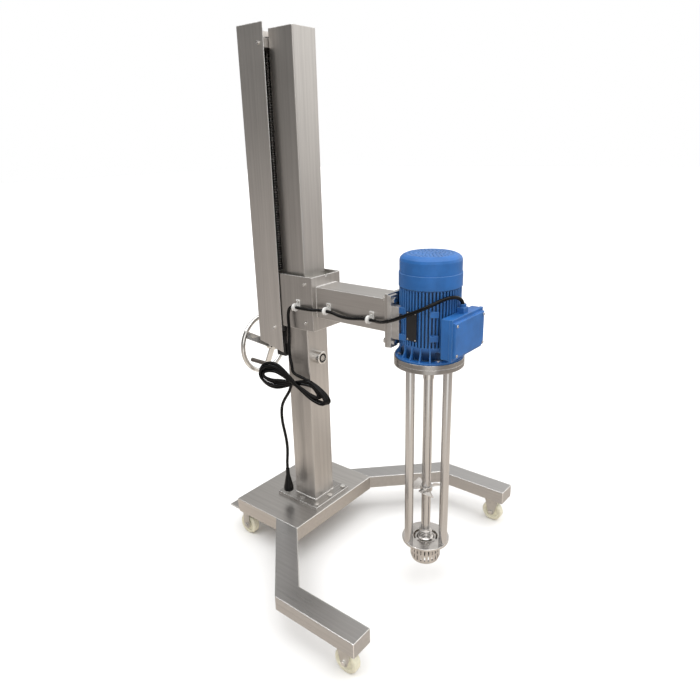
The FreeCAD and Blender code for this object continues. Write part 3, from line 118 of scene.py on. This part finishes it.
# Which finish each piece of the model has
FINISHED_NODES = {
    "column_steel": ("column_tube",),
    "guard_steel": ("screw_guard",),
    "collar_steel": ("slide_collar",),
    "arm_steel": ("arm_tube",),
    "deck_steel": ("base_deck", "deck_floor_plate"),
    "foot_steel": ("foot_plate",),
    "leg_steel": ("leg_left", "leg_right"),
    "plate_steel": ("arm_end_plate", "top_bearing"),
    "flange_steel": ("flange_plates",),
    "turned_steel": ("seal_collar", "head_disc", "stator_head", "rotor_head", "propeller"),
    "rod_steel": ("support_rods", "mixer_shaft", "handwheel_shaft"),
    "bright_steel": ("foot_bolts", "guard_screws", "cap_screws", "flange_bolts", "motor_bolts",
                     "front_caster_axles", "handwheel", "motor_bearings", "button_body"),
    "button_steel": ("push_button",),
    "caster_steel": ("front_caster_forks", "rear_caster_plates", "rear_fork_left", "rear_fork_right"),
    "cream_nylon": ("wheel_front_left", "wheel_front_right", "wheel_rear_left", "wheel_rear_right"),
    "blue_enamel": ("fan_cover", "terminal_box", "terminal_cover", "cable_gland"),
    "fin_enamel": ("motor_housing", "end_shields"),
    "bare_aluminium": ("motor_feet",),
    "black_enamel": ("gear_housing", "nut_bracket"),
    "oiled_screw": ("lead_screw",),
    "nut_bronze": ("lead_nut",),
    "slide_plastic": ("wear_pads",),
    "laminations": ("motor_stator", "motor_rotor"),
    "black_plastic": ("cooling_fan", "power_plug", "cord_drop", "cord_hank",
                      "cord_tail", "motor_cable"),
    "grip_plastic": ("handwheel_grip",),
    "white_nylon": ("cable_clips",),
}


class StudioSettings(bpy.types.PropertyGroup):
    """Camera, floor and light of the product picture."""

    camera_place: FloatVectorProperty(
        name="Camera place", description="Where the camera stands", subtype="TRANSLATION", unit="LENGTH",
        default=(1.20619, -1.41472, 1.3895))
    camera_turn: FloatProperty(
        name="Camera turn", description="Turn of the view from the +Y direction", subtype="ANGLE",
        default=math.radians(39.384))
    camera_dip: FloatProperty(
        name="Camera dip", description="How far the view looks down", subtype="ANGLE",
        default=math.radians(19.1285))
    camera_roll: FloatProperty(
        name="Camera roll", description="Roll about the line of sight", subtype="ANGLE",
        default=math.radians(-1.4895))
    camera_lens: FloatProperty(
        name="Camera lens", description="Focal length in millimetres", default=30.49, min=10.0)
    floor_half: FloatProperty(
        name="Floor half width", description="Half the side of the floor", unit="LENGTH", default=30.0)
    sun_strength: FloatProperty(
        name="Overhead light", description="Strength of the soft light from above", default=2.4)
    sun_spread: FloatProperty(
        name="Overhead spread", description="Width of the soft light from above", subtype="ANGLE",
        default=math.radians(75))
    key_strength: FloatProperty(
        name="Key light", description="Strength of the sharp light", default=0.18)
    key_spread: FloatProperty(
        name="Key spread", description="Width of the sharp light", subtype="ANGLE", default=math.radians(6))


class FinishSettings(bpy.types.PropertyGroup):
    """Colours of the mixer's materials."""

    steel: FloatVectorProperty(
        name="Stainless steel", description="Brushed stainless steel", subtype="COLOR",
        default=(0.56, 0.54, 0.52))
    bright: FloatVectorProperty(
        name="Bright steel", description="Polished fasteners and the handwheel", subtype="COLOR",
        default=(0.74, 0.73, 0.71))
    zinc: FloatVectorProperty(
        name="Caster steel", description="Pressed and plated caster forks", subtype="COLOR",
        default=(0.52, 0.51, 0.49))
    enamel: FloatVectorProperty(
        name="Motor enamel", description="Blue enamel of the motor", subtype="COLOR",
        default=(0.030, 0.165, 0.50))
    nylon: FloatVectorProperty(
        name="Wheel nylon", description="Cream nylon of the caster wheels", subtype="COLOR",
        default=(0.95, 0.93, 0.75))
    rubber: FloatVectorProperty(
        name="Cable sheath", description="Black sheath of the cable", subtype="COLOR",
        default=(0.008, 0.008, 0.009))


class CableSettings(bpy.types.PropertyGroup):
    """Sizes of the power cable and its hank."""

    radius: FloatProperty(
        name="Cable radius", description="Half the cable's diameter", unit="LENGTH", default=0.00525)
    hank_turn: FloatProperty(
        name="Hank turn", description="Turn of the hank's plane about the vertical", subtype="ANGLE",
        default=math.radians(14.5))
    hank_middle: FloatVectorProperty(
        name="Hank middle", description="The hank's crossing, from the column's axis", unit="LENGTH",
        default=(0.012, -0.093, 0.640))
    hank_turns: IntProperty(
        name="Hank turns", description="Figure-of-eight turns in the hank", default=4, min=1)


class DetailSettings(bpy.types.PropertyGroup):
    """Sizes of the small pieces."""

    plate_turn: FloatProperty(
        name="Plate turn", description="Where the motor's blank plate sits round the motor", subtype="ANGLE",
        default=math.radians(-93))
    plate_height: FloatProperty(
        name="Plate height", description="Height of the plate's middle", unit="LENGTH", default=0.907)
    plate_size: FloatVectorProperty(
        name="Plate size", description="Width and height of the plate", unit="LENGTH", size=2,
        default=(0.034, 0.084))
    bead_radius: FloatProperty(
        name="Bead radius", description="Half the width of a weld bead", unit="LENGTH", default=0.0026)


class Nodes:
    """The nodes of one material or world, made through one method."""

    def __init__(self, tree):
        self.tree = tree
        self.tree.nodes.clear()

    def fill(self, socket, value):
        if isinstance(value, Shade):
            self.tree.links.new(value.socket, socket)
        elif socket.type == "RGBA" and len(value) == 3:
            socket.default_value = (*value, 1.0)
        else:
            socket.default_value = value

    def node(self, kind, settings=None, inputs=None, output=0):
        made = self.tree.nodes.new(kind)
        for key, value in (settings or {}).items():
            setattr(made, key, value)
        for key, value in (inputs or {}).items():
            self.fill(made.inputs[key], value)
        return Shade(self, made.outputs[output])

    def stretched(self, place, scales):
        return self.node("ShaderNodeVectorMath", {"operation": "MULTIPLY"}, {0: place, 1: scales})

    def noise(self, place, scales, detail=2.0):
        """Noise with so many waves per metre, given once or for each axis."""
        scales = (scales,) * 3 if isinstance(scales, float) else scales
        vector = self.stretched(place, scales)
        facts = {"Vector": vector, "Scale": 1.0, "Detail": detail, "Roughness": 0.5}
        return self.node("ShaderNodeTexNoise", None, facts)

    def between(self, value, low, high, at_low=0.0, at_high=1.0):
        facts = {"Value": value, 1: low, 2: high, 3: at_low, 4: at_high}
        return self.node("ShaderNodeMapRange", {"interpolation_type": "SMOOTHSTEP"}, facts)

    def mixed(self, share, first, second):
        return self.node("ShaderNodeMix", {"data_type": "RGBA"}, {0: share, 6: first, 7: second}, 2)

    def distance(self, place, centre, scales=(1.0, 1.0, 1.0)):
        facts = {0: self.stretched(place, scales), 1: centre}
        return self.node("ShaderNodeVectorMath", {"operation": "DISTANCE"}, facts, "Value")

    def towards(self, direction, axis, low, high):
        facts = {0: direction, 1: Vector(axis).normalized()}
        cosine = self.node("ShaderNodeVectorMath", {"operation": "DOT_PRODUCT"}, facts, "Value")
        return self.between(cosine, low, high)


class Shade:
    """A socket of those nodes, so that shader maths is written as an expression."""

    def __init__(self, nodes, socket):
        self.nodes = nodes
        self.socket = socket

    def maths(self, operation, first, second):
        return self.nodes.node("ShaderNodeMath", {"operation": operation}, {0: first, 1: second})

    def __add__(self, other):
        return self.maths("ADD", self, other)

    __radd__ = __add__

    def __sub__(self, other):
        return self.maths("SUBTRACT", self, other)

    def __rsub__(self, other):
        return self.maths("SUBTRACT", other, self)

    def __mul__(self, other):
        return self.maths("MULTIPLY", self, other)

    __rmul__ = __mul__


class Finish(Nodes):
    """A material with one Principled shader, read in the object's own coordinates."""

    def __init__(self, name, colour, roughness, metallic=0.0, **plain):
        self.material = bpy.data.materials.new(name)
        self.material.use_nodes = True
        super().__init__(self.material.node_tree)
        self.place = self.node("ShaderNodeTexCoord", output="Object")
        self.rounded = None
        self.shader = self.tree.nodes.new("ShaderNodeBsdfPrincipled")
        output = self.tree.nodes.new("ShaderNodeOutputMaterial")
        self.tree.links.new(self.shader.outputs[0], output.inputs["Surface"])
        self.set("Base Color", colour)
        self.set("Roughness", roughness)
        self.set("Metallic", metallic)
        for socket, value in plain.items():
            self.set(socket.replace("_", " "), value)

    def set(self, socket, value):
        self.fill(self.shader.inputs[socket], value)

    def edges(self, width):
        """1 along the sharp edges of a piece, and 0 elsewhere. The rounded normal is kept for the bump."""
        self.rounded = self.node("ShaderNodeBevel", {"samples": 6}, {"Radius": width})
        flat = self.node("ShaderNodeNewGeometry", output="True Normal")
        facts = {0: self.rounded, 1: flat}
        level = self.node("ShaderNodeVectorMath", {"operation": "DOT_PRODUCT"}, facts, "Value")
        return self.between(1 - level, 0.01, 0.12)

    def bump(self, height, depth):
        facts = {"Height": height, "Strength": 1.0, "Distance": depth}
        if self.rounded:
            facts["Normal"] = self.rounded
        self.set("Normal", self.node("ShaderNodeBump", None, facts))


# The brushed grain's broad bands and fine lines, in waves per metre across it and along it
BANDS_ACROSS, BANDS_ALONG = 110.0, 0.7
LINES_ACROSS, LINES_ALONG = 900.0, 9.0


def brushed(name, colour, grain, roughness=0.30, edge=0.003):
    """Stainless steel brushed along the grain axis, 0, 1 or 2 for X, Y or Z, with painted highlights along
    its edges.
    """
    finish = Finish(name, colour, roughness, metallic=1.0)
    wide = [BANDS_ACROSS] * 3
    wide[grain] = BANDS_ALONG
    fine = [LINES_ACROSS] * 3
    fine[grain] = LINES_ALONG
    bands = finish.noise(finish.place, wide, detail=3.0)
    lines = finish.noise(finish.place, fine, detail=2.0)
    clouds = finish.noise(finish.place, 7.0, detail=2.0)
    tone = 0.5 * bands + 0.5 * lines
    sheet = finish.mixed(finish.between(tone, 0.3, 0.7), toned(colour, 0.90), toned(colour, 1.08))
    # Painted highlight: the base colour turns near white along the edges, where light would catch them.
    painted_edge_highlight = finish.edges(edge)
    finish.set("Base Color", finish.mixed(painted_edge_highlight, sheet, (0.99, 0.99, 0.98)))
    finish.set("Roughness", roughness - 0.10 + 0.10 * lines + 0.10 * clouds - 0.06 * painted_edge_highlight)
    finish.bump(lines, 0.00003)
    return finish.material


def toned(colour, share):
    """A colour made lighter or darker, and never over white."""
    return [min(1.0, part * share) for part in colour]


def turned(name, colour, roughness=0.24):
    """Machined steel with a fine, even texture and painted highlights along its edges."""
    finish = Finish(name, colour, roughness, metallic=1.0)
    fine = finish.noise(finish.place, 900.0, detail=2.0)
    clouds = finish.noise(finish.place, 25.0, detail=2.0)
    metal = finish.mixed(finish.between(clouds, 0.3, 0.7), toned(colour, 0.86), toned(colour, 1.10))
    # Painted highlight: the base colour turns near white along the edges.
    finish.set("Base Color", finish.mixed(0.7 * finish.edges(0.0012), metal, (0.97, 0.97, 0.96)))
    finish.set("Roughness", roughness - 0.06 + 0.12 * clouds)
    finish.bump(fine, 0.00002)
    return finish.material


def enamel(name, colour, fin_shade_radii=None):
    """Sprayed enamel over a casting, with painted shade between the fins where their radii are given."""
    finish = Finish(name, colour, 0.36, Specular_IOR_Level=0.35)
    casting = finish.noise(finish.place, 420.0, detail=3.0)
    clouds = finish.noise(finish.place, 18.0, detail=3.0)
    paint = finish.mixed(finish.between(clouds, 0.3, 0.7), toned(colour, 0.86), toned(colour, 1.10))
    # Painted shade: the enamel turns much darker between the fins, near the motor's axis.
    if fin_shade_radii:
        away = finish.distance(finish.place, (motor_x, 0.0, 0.0), (1.0, 1.0, 0.0))
        paint = finish.mixed(finish.between(away, *fin_shade_radii), toned(colour, 0.22), paint)
    # Painted highlight: the enamel turns a lighter blue along the edges.
    painted_edge_highlight = finish.edges(0.0018)
    finish.set("Base Color", finish.mixed(0.45 * painted_edge_highlight, paint, (0.25, 0.50, 0.85)))
    finish.set("Roughness", 0.34 + 0.14 * clouds)
    finish.bump(casting, 0.00008)
    return finish.material


def moulded(name, colour, roughness=0.45, grain=700.0, specular=0.5):
    """Moulded plastic or rubber with a fine grain."""
    finish = Finish(name, colour, roughness, Specular_IOR_Level=specular)
    fine = finish.noise(finish.place, grain, detail=2.0)
    clouds = finish.noise(finish.place, 40.0, detail=3.0)
    tones = toned(colour, 0.88), toned(colour, 1.08)
    finish.set("Base Color", finish.mixed(finish.between(clouds, 0.3, 0.7), *tones))
    finish.set("Roughness", roughness - 0.05 + 0.10 * clouds)
    finish.bump(fine, 0.00005)
    return finish.material


def ringed(name, colour, dark):
    """A turned metal cap with a black rim and a thin black ring."""
    finish = Finish(name, colour, 0.25, metallic=1.0)
    away = finish.distance(finish.place, (0.0, button_y, button_z), (0.0, 1.0, 1.0))
    clouds = finish.noise(finish.place, 300.0)
    rim = finish.between(away, *CAP_RIM)
    ring = finish.between(away, *CAP_RING_INSIDE) - finish.between(away, *CAP_RING_OUTSIDE)
    metal = finish.mixed(clouds, toned(colour, 0.85), colour)
    finish.set("Base Color", finish.mixed(rim + ring, metal, dark))
    finish.set("Metallic", 1 - rim)
    finish.set("Roughness", 0.20 + 0.12 * clouds)
    return finish.material


def dress(node, material):
    """Gives a piece of the frame its finish."""
    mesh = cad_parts[node].data
    mesh.materials.clear()
    mesh.materials.append(material)


class MIXER_OT_finishes(bpy.types.Operator):
    """Gives every piece of the model its material"""

    bl_idname = "mixer.finishes"
    bl_label = "Finish the pieces"

    def execute(self, context):
        colours = context.scene.mixer_finish
        steel = tuple(colours.steel)
        cool = [steel[0] * 0.98, steel[1], steel[2] * 1.03]
        blue = toned(colours.enamel, 0.92)
        recipes = {
            "column_steel": (brushed, steel, 2, 0.40),
            # The guard's lighter tone is painted light.
            "guard_steel": (brushed, toned(steel, 1.28), 2, 0.36),
            # The collar's darker tone is partly its own finish and partly painted shade from the guard.
            "collar_steel": (brushed, toned(steel, 0.92), 2, 0.36),
            "arm_steel": (brushed, toned(steel, 1.03), 0, 0.34),
            "deck_steel": (brushed, toned(steel, 0.94), 0, 0.32, 0.0045),
            # The foot plate's darker tone is painted shade from the column.
            "foot_steel": (brushed, toned(steel, 0.74), 1, 0.28, 0.0035),
            "leg_steel": (brushed, toned(cool, 0.84), 0, 0.30, 0.0045),
            "plate_steel": (brushed, steel, 2, 0.36),
            "rod_steel": (brushed, toned(cool, 1.04), 2, 0.20),
            "turned_steel": (turned, steel, 0.20),
            "flange_steel": (turned, toned(steel, 0.68), 0.26),
            "bright_steel": (turned, tuple(colours.bright), 0.16),
            "caster_steel": (turned, tuple(colours.zinc), 0.38),
            "bare_aluminium": (turned, (0.62, 0.61, 0.60), 0.5),
            "oiled_screw": (turned, (0.10, 0.095, 0.09), 0.35),
            "nut_bronze": (turned, (0.62, 0.42, 0.18), 0.3),
            "laminations": (turned, (0.22, 0.21, 0.20), 0.45),
            "button_steel": (ringed, tuple(colours.bright), (0.01, 0.01, 0.01)),
            "blue_enamel": (enamel, blue),
            "fin_enamel": (enamel, blue, FIN_SHADE),
            "cream_nylon": (moulded, toned(colours.nylon, 0.86), 0.38),
            "black_enamel": (moulded, (0.02, 0.02, 0.022), 0.4),
            "slide_plastic": (moulded, (0.72, 0.72, 0.68)),
            "black_plastic": (moulded, toned(colours.rubber, 0.45), 0.14, 700.0, 0.18),
            "plate_black": (moulded, (0.010, 0.010, 0.011), 0.42, 1500.0),
            "grip_plastic": (moulded, (0.09, 0.075, 0.065), 0.4),
            "white_nylon": (moulded, (0.85, 0.85, 0.84), 0.35),
        }
        made = {name: maker(name, *facts) for name, (maker, *facts) in recipes.items()}
        for finish, nodes in FINISHED_NODES.items():
            for node in nodes:
                dress(node, made[finish])
        return {"FINISHED"}


def cable_curve(name, points, radius, material):
    """A smooth round cable along control points."""
    curve = bpy.data.curves.new(name, "CURVE")
    curve.dimensions = "3D"
    curve.bevel_depth = radius
    curve.bevel_resolution = 4
    curve.resolution_u = 6
    spline = curve.splines.new("NURBS")
    spline.points.add(len(points) - 1)
    for place, point in zip(spline.points, points):
        place.co = (*point, 1.0)
    spline.order_u = 3
    spline.use_endpoint_u = True
    curve.materials.append(material)
    piece = bpy.data.objects.new(name, curve)
    bpy.context.collection.objects.link(piece)
    return piece


def from_column(route):
    """Moves a route from the column's axis into the frame."""
    return [Vector((column_x + x, y, z)) for x, y, z in route]


# Lobes of the hank in its own plane, in metres: middle along and up, tilt, and the turns' half sizes
REAR_LOBE = (-0.075, 0.004, 0.0)
FRONT_LOBE = (0.072, -0.033, math.radians(-32.0))
REAR_TURNS = ((0.060, 0.048, -0.004), (0.055, 0.038, 0.005), (0.049, 0.028, -0.005), (0.043, 0.0185, 0.004))
FRONT_TURNS = ((0.070, 0.0240, -0.011), (0.066, 0.0240, 0.0), (0.063, 0.0235, 0.011),
               (0.036, 0.0145, -0.0055), (0.030, 0.0140, 0.0055))
LOBE_STEPS = 8


def lobe_points(lobe, turn, first, last, side):
    """Points of one pass round a lobe, from angle first to angle last, as (along, up, out)."""
    middle_along, middle_up, tilt = lobe
    half_long, half_high, out = turn
    points = []
    for step in range(LOBE_STEPS):
        share = step / (LOBE_STEPS - 1)
        angle = math.radians(first + (last - first) * share)
        along = half_long * math.cos(angle)
        up = half_high * math.sin(angle)
        swell = math.sin(math.pi * share)
        cross = side * 0.0055 * math.cos(math.pi * share)
        points.append((
            middle_along + along * math.cos(tilt) - up * math.sin(tilt),
            middle_up + along * math.sin(tilt) + up * math.cos(tilt),
            out * swell + cross * (1 - swell),
        ))
    return points


def hank_points(cable):
    """Control points of the figure-of-eight turns, in the frame."""
    flat = []
    for number in range(cable.hank_turns):
        flat += lobe_points(FRONT_LOBE, FRONT_TURNS[number], 125, -120, -1)
        flat += lobe_points(REAR_LOBE, REAR_TURNS[number], 55, 300, 1)
    flat += lobe_points(FRONT_LOBE, FRONT_TURNS[cable.hank_turns], 125, -120, -1)
    middle = Vector(cable.hank_middle) + Vector((column_x, 0, 0))
    along_axis = Vector((math.cos(cable.hank_turn), math.sin(cable.hank_turn), 0))
    out_axis = Vector((math.sin(cable.hank_turn), -math.cos(cable.hank_turn), 0))
    return [middle + along_axis * a + Vector((0, 0, up)) + out_axis * out for a, up, out in flat]


class MIXER_OT_cable(bpy.types.Operator):
    """Lays the clipped motor cable and the free cord with its hank"""

    bl_idname = "mixer.cable"
    bl_label = "Lay the cable"

    def execute(self, context):
        cable = context.scene.mixer_cable
        sheath = bpy.data.materials["black_plastic"]
        clipped = cable_curve("clipped_cable", from_column(MOTOR_CABLE_ROUTE), cable.radius, sheath)
        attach(clipped, "carriage")
        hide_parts("motor_cable")
        points = from_column(CORD_DROP_ROUTE) + hank_points(cable) + from_column(CORD_TAIL_ROUTE)
        cord = cable_curve("power_cord", points, cable.radius, sheath)
        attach(cord, "carriage")
        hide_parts("cord_drop", "cord_hank", "cord_tail")
        return {"FINISHED"}


def add_piece(name, shape, body, material):
    """Makes an object of a finished shape and lets it ride on a body."""
    mesh = bpy.data.meshes.new(name)
    bmesh.ops.recalc_face_normals(shape, faces=shape.faces)
    shape.to_mesh(mesh)
    shape.free()
    mesh.materials.append(material)
    piece = bpy.data.objects.new(name, mesh)
    bpy.context.collection.objects.link(piece)
    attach(piece, body)
    return piece


def lathed(shape, profile, base, axis, steps, closed=False):
    """Spins a profile of (radius, height) points round an axis through the base."""
    tilt = Vector((0, 0, 1)).rotation_difference(Vector(axis))
    place = Matrix.Translation(base) @ tilt.to_matrix().to_4x4()
    points = [shape.verts.new(place @ Vector((radius, 0, height))) for radius, height in profile]
    pairs = list(zip(points, points[1:]))
    if closed:
        pairs.append((points[-1], points[0]))
    lines = [shape.edges.new(pair) for pair in pairs]
    bmesh.ops.spin(shape, geom=points + lines, cent=base, axis=axis, dvec=(0, 0, 0), angle=2 * math.pi,
                   steps=steps, use_merge=True, use_duplicate=False)
    bmesh.ops.remove_doubles(shape, verts=shape.verts[:], dist=0.000005)


def weld_bead(shape, corners, radius):
    """A closed bead of small ripples along straight runs between corners."""
    centre = sum((Vector(corner) for corner in corners), Vector()) / len(corners)
    loops = []
    for start, end in zip(corners, corners[1:] + corners[:1]):
        start, end = Vector(start), Vector(end)
        run = end - start
        steps = max(2, round(run.length / RIPPLE_LENGTH))
        for step in range(steps):
            place = start.lerp(end, step / steps)
            thick = radius * (1 - RIPPLE_SHARE + RIPPLE_SHARE * math.cos(math.pi * step))
            side = run.normalized()
            outward = (place - centre).normalized()
            outward = (outward - side * outward.dot(side)).normalized()
            turn = Matrix((outward, side.cross(outward), side)).transposed().to_4x4()
            ring = bmesh.ops.create_circle(
                shape, segments=BEAD_SIDES, radius=thick, matrix=Matrix.Translation(place) @ turn)
            loops.append(list({edge for vertex in ring["verts"] for edge in vertex.link_edges}))
    for low, high in zip(loops, loops[1:] + loops[:1]):
        bmesh.ops.bridge_loops(shape, edges=low + high)


def soft_box(shape, size, place, bevel):
    """A box with bevelled edges, put where the place matrix says."""
    made = bmesh.ops.create_cube(shape, size=1.0, matrix=place @ Matrix.Diagonal((*size, 1.0)))
    edges = {edge for vertex in made["verts"] for edge in vertex.link_edges}
    bmesh.ops.bevel(
        shape, geom=list(edges), offset=bevel, segments=2, profile=0.5, affect="EDGES", material=-1)


class MIXER_OT_plate(bpy.types.Operator):
    """Rivets a blank plate to the motor's fins"""

    bl_idname = "mixer.plate"
    bl_label = "Rivet the plate"

    def execute(self, context):
        detail = context.scene.mixer_detail
        middle = Matrix.Translation((motor_x, 0, detail.plate_height))
        turn = middle @ Matrix.Rotation(detail.plate_turn, 4, "Z")
        wide, high = detail.plate_size
        plate = bmesh.new()
        soft_box(plate, (PLATE_THICK, wide, high), turn @ Matrix.Translation((FIN_RADIUS, 0, 0)), PLATE_EDGE)
        add_piece("motor_plate", plate, "carriage", bpy.data.materials["plate_black"])
        rivets = bmesh.new()
        outward = turn.to_3x3() @ Vector((1, 0, 0))
        face = FIN_RADIUS + PLATE_THICK / 2 - 0.0001
        for across in (-1, 1):
            for up in (-1, 1):
                base = Vector((face, across * (wide / 2 - RIVET_INSET), up * (high / 2 - RIVET_INSET)))
                lathed(rivets, RIVET_DOME, turn @ base, outward, 12)
        add_piece("plate_rivets", rivets, "carriage", bpy.data.materials["bright_steel"])
        return {"FINISHED"}


class MIXER_OT_welds(bpy.types.Operator):
    """Runs the weld beads at the column's foot and at both ends of the arm"""

    bl_idname = "mixer.welds"
    bl_label = "Run the weld beads"

    def execute(self, context):
        bead = context.scene.mixer_detail.bead_radius
        steel = bpy.data.materials["bright_steel"]
        foot = bmesh.new()
        ring = []
        for x, y in ((1, -1), (1, 1), (-1, 1), (-1, -1)):
            first, second = (0, BEAD_CORNER), (BEAD_CORNER, 0)
            if x * y < 0:
                first, second = second, first
            for back_x, back_y in (first, second):
                across = y * (column_half - back_y)
                ring.append((column_x + x * (column_half - back_x), across, foot_plate_top))
        weld_bead(foot, ring, bead)
        add_piece("foot_bead", foot, "root", steel)
        arm = bmesh.new()
        for x in (arm_low.x, arm_high.x):
            weld_bead(arm, [(x, arm_low.y, arm_low.z), (x, arm_high.y, arm_low.z),
                            (x, arm_high.y, arm_high.z), (x, arm_low.y, arm_high.z)], bead)
        add_piece("arm_beads", arm, "carriage", steel)
        return {"FINISHED"}


class MIXER_OT_button_ring(bpy.types.Operator):
    """Lays the black ring round the push button"""

    bl_idname = "mixer.button_ring"
    bl_label = "Lay the button's ring"

    def execute(self, context):
        ring = bmesh.new()
        lathed(ring, BUTTON_RING, (button_face, button_y, button_z), (1, 0, 0), 48, closed=True)
        add_piece("button_ring", ring, "root", bpy.data.materials["black_plastic"])
        return {"FINISHED"}


def make_camera(studio):
    """The camera at the picture's viewing angle."""
    turn, dip, roll = studio.camera_turn, studio.camera_dip, studio.camera_roll
    forward = Vector((-math.sin(turn) * math.cos(dip), math.cos(turn) * math.cos(dip), -math.sin(dip)))
    level = Vector((math.cos(turn), math.sin(turn), 0))
    upright = level.cross(forward)
    right = level * math.cos(roll) + upright * math.sin(roll)
    above = upright * math.cos(roll) - level * math.sin(roll)
    data = bpy.data.cameras.new("camera")
    data.lens = studio.camera_lens
    data.sensor_width = 36.0
    data.clip_end = 100.0
    camera = bpy.data.objects.new("camera", data)
    camera.matrix_world = Matrix((
        (right.x, above.x, -forward.x, studio.camera_place[0]),
        (right.y, above.y, -forward.y, studio.camera_place[1]),
        (right.z, above.z, -forward.z, studio.camera_place[2]),
        (0, 0, 0, 1),
    ))
    bpy.context.collection.objects.link(camera)
    bpy.context.scene.camera = camera


def make_floor(studio):
    """A white floor that looks darker in reflections than it does to the eye, with painted light and shade
    in those reflections.
    """
    mesh = bpy.data.meshes.new("floor")
    shape = bmesh.new()
    bmesh.ops.create_grid(shape, x_segments=1, y_segments=1, size=studio.floor_half)
    shape.to_mesh(mesh)
    shape.free()
    material = bpy.data.materials.new("floor_white")
    material.use_nodes = True
    nodes = Nodes(material.node_tree)
    seen = nodes.node("ShaderNodeBsdfDiffuse", None, {"Color": (0.93, 0.93, 0.93)})
    place = nodes.node("ShaderNodeTexCoord", output="Object")
    # Painted light and shade, seen only in reflections: a warm tone near the mixer fading to a dark one
    # further out, and a bright pool of light near the camera.
    away = nodes.distance(place, (0.3, 0.3, 0.0))
    tones = (0.66, 0.60, 0.54), (0.30, 0.28, 0.265)
    faded = nodes.mixed(nodes.between(away, 0.9, 2.6), *tones)
    ahead = nodes.distance(place, (1.55, -1.60, 0.0))
    lit = nodes.mixed(nodes.between(ahead, 0.5, 1.0), (0.95, 0.94, 0.92), faded)
    mirrored = nodes.node("ShaderNodeBsdfDiffuse", None, {"Color": lit})
    is_camera = nodes.node("ShaderNodeLightPath", output="Is Camera Ray")
    mix = nodes.node("ShaderNodeMixShader", None, {0: is_camera, 1: mirrored, 2: seen})
    output = nodes.tree.nodes.new("ShaderNodeOutputMaterial")
    nodes.fill(output.inputs["Surface"], mix)
    mesh.materials.append(material)
    floor = bpy.data.objects.new("floor", mesh)
    bpy.context.collection.objects.link(floor)


# Brightness of the studio all round, and of its sides: strength, direction, and the cosines of the angles to
# that direction where a side starts and where it is full
STUDIO_GLOW = 0.34
STUDIO_SIDES = (
    (0.55, (0.75, 0.60, 0.15), 0.35, 0.95),
    (0.62, (0.10, 0.90, 0.60), 0.50, 0.98),
    (1.40, (0.70, -0.70, 0.25), 0.88, 0.99),
    (1.10, (-0.60, -0.33, 0.73), 0.92, 0.99),
    (-0.18, (-0.70, -0.70, 0.15), 0.50, 0.98),
)


def make_world():
    """White to the eye, and a soft studio of brighter and darker sides to the steel."""
    world = bpy.data.worlds.new("studio")
    world.use_nodes = True
    nodes = Nodes(world.node_tree)
    direction = nodes.node("ShaderNodeTexCoord", output="Generated")
    glow = STUDIO_GLOW
    for strength, axis, faint, full in STUDIO_SIDES:
        glow = glow + strength * nodes.towards(direction, axis, faint, full)
    is_camera = nodes.node("ShaderNodeLightPath", output="Is Camera Ray")
    tint = nodes.node("ShaderNodeCombineColor", None, {0: glow, 1: glow * 0.985, 2: glow * 0.96})
    colour = nodes.mixed(is_camera, tint, (1.0, 1.0, 1.0))
    background = nodes.node("ShaderNodeBackground", None, {"Color": colour, "Strength": 1.0})
    output = nodes.tree.nodes.new("ShaderNodeOutputWorld")
    nodes.fill(output.inputs["Surface"], background)
    bpy.context.scene.world = world


def make_sun(name, strength, spread, source):
    """One distant light, shining from the direction of its source."""
    data = bpy.data.lights.new(name, "SUN")
    data.energy = strength
    data.angle = spread
    light = bpy.data.objects.new(name, data)
    light.rotation_mode = "QUATERNION"
    light.rotation_quaternion = Vector((0, 0, 1)).rotation_difference(Vector(source))
    bpy.context.collection.objects.link(light)


def make_lights(studio):
    """A wide soft light from above, and a weak sharp one from the left front."""
    make_sun("overhead", studio.sun_strength, studio.sun_spread, (0.10, -0.14, 0.98))
    make_sun("key", studio.key_strength, studio.key_spread, (-0.30, -0.60, 0.75))


class MIXER_OT_studio(bpy.types.Operator):
    """Makes the camera, the floor, the world and the lights"""

    bl_idname = "mixer.studio"
    bl_label = "Make the studio"

    def execute(self, context):
        studio = context.scene.mixer_studio
        context.scene.view_settings.view_transform = "Standard"
        make_camera(studio)
        make_floor(studio)
        make_world()
        make_lights(studio)
        return {"FINISHED"}


class MIXER_PT_panel(bpy.types.Panel):
    """Lists the steps that dress the mixer"""

    bl_idname = "MIXER_PT_panel"
    bl_label = "High shear mixer"
    bl_space_type = "VIEW_3D"
    bl_region_type = "UI"
    bl_category = "Mixer"

    def draw(self, context):
        for step in OPERATORS:
            self.layout.operator(step.bl_idname)


SETTINGS = {
    "mixer_studio": StudioSettings,
    "mixer_finish": FinishSettings,
    "mixer_cable": CableSettings,
    "mixer_detail": DetailSettings,
}
OPERATORS = (MIXER_OT_studio, MIXER_OT_finishes, MIXER_OT_cable, MIXER_OT_plate, MIXER_OT_welds,
             MIXER_OT_button_ring)


def register():
    for group in SETTINGS.values():
        bpy.utils.register_class(group)
    for operator in OPERATORS:
        bpy.utils.register_class(operator)
    bpy.utils.register_class(MIXER_PT_panel)
    for name, group in SETTINGS.items():
        setattr(bpy.types.Scene, name, PointerProperty(type=group))


def unregister():
    for name in SETTINGS:
        delattr(bpy.types.Scene, name)
    bpy.utils.unregister_class(MIXER_PT_panel)
    for operator in reversed(OPERATORS):
        bpy.utils.unregister_class(operator)
    for group in reversed(SETTINGS.values()):
        bpy.utils.unregister_class(group)


def main():
    register()
    bpy.ops.mixer.studio()
    bpy.ops.mixer.finishes()
    bpy.ops.mixer.cable()
    bpy.ops.mixer.plate()
    bpy.ops.mixer.welds()
    bpy.ops.mixer.button_ring()


if __name__ == "__main__":
    main()
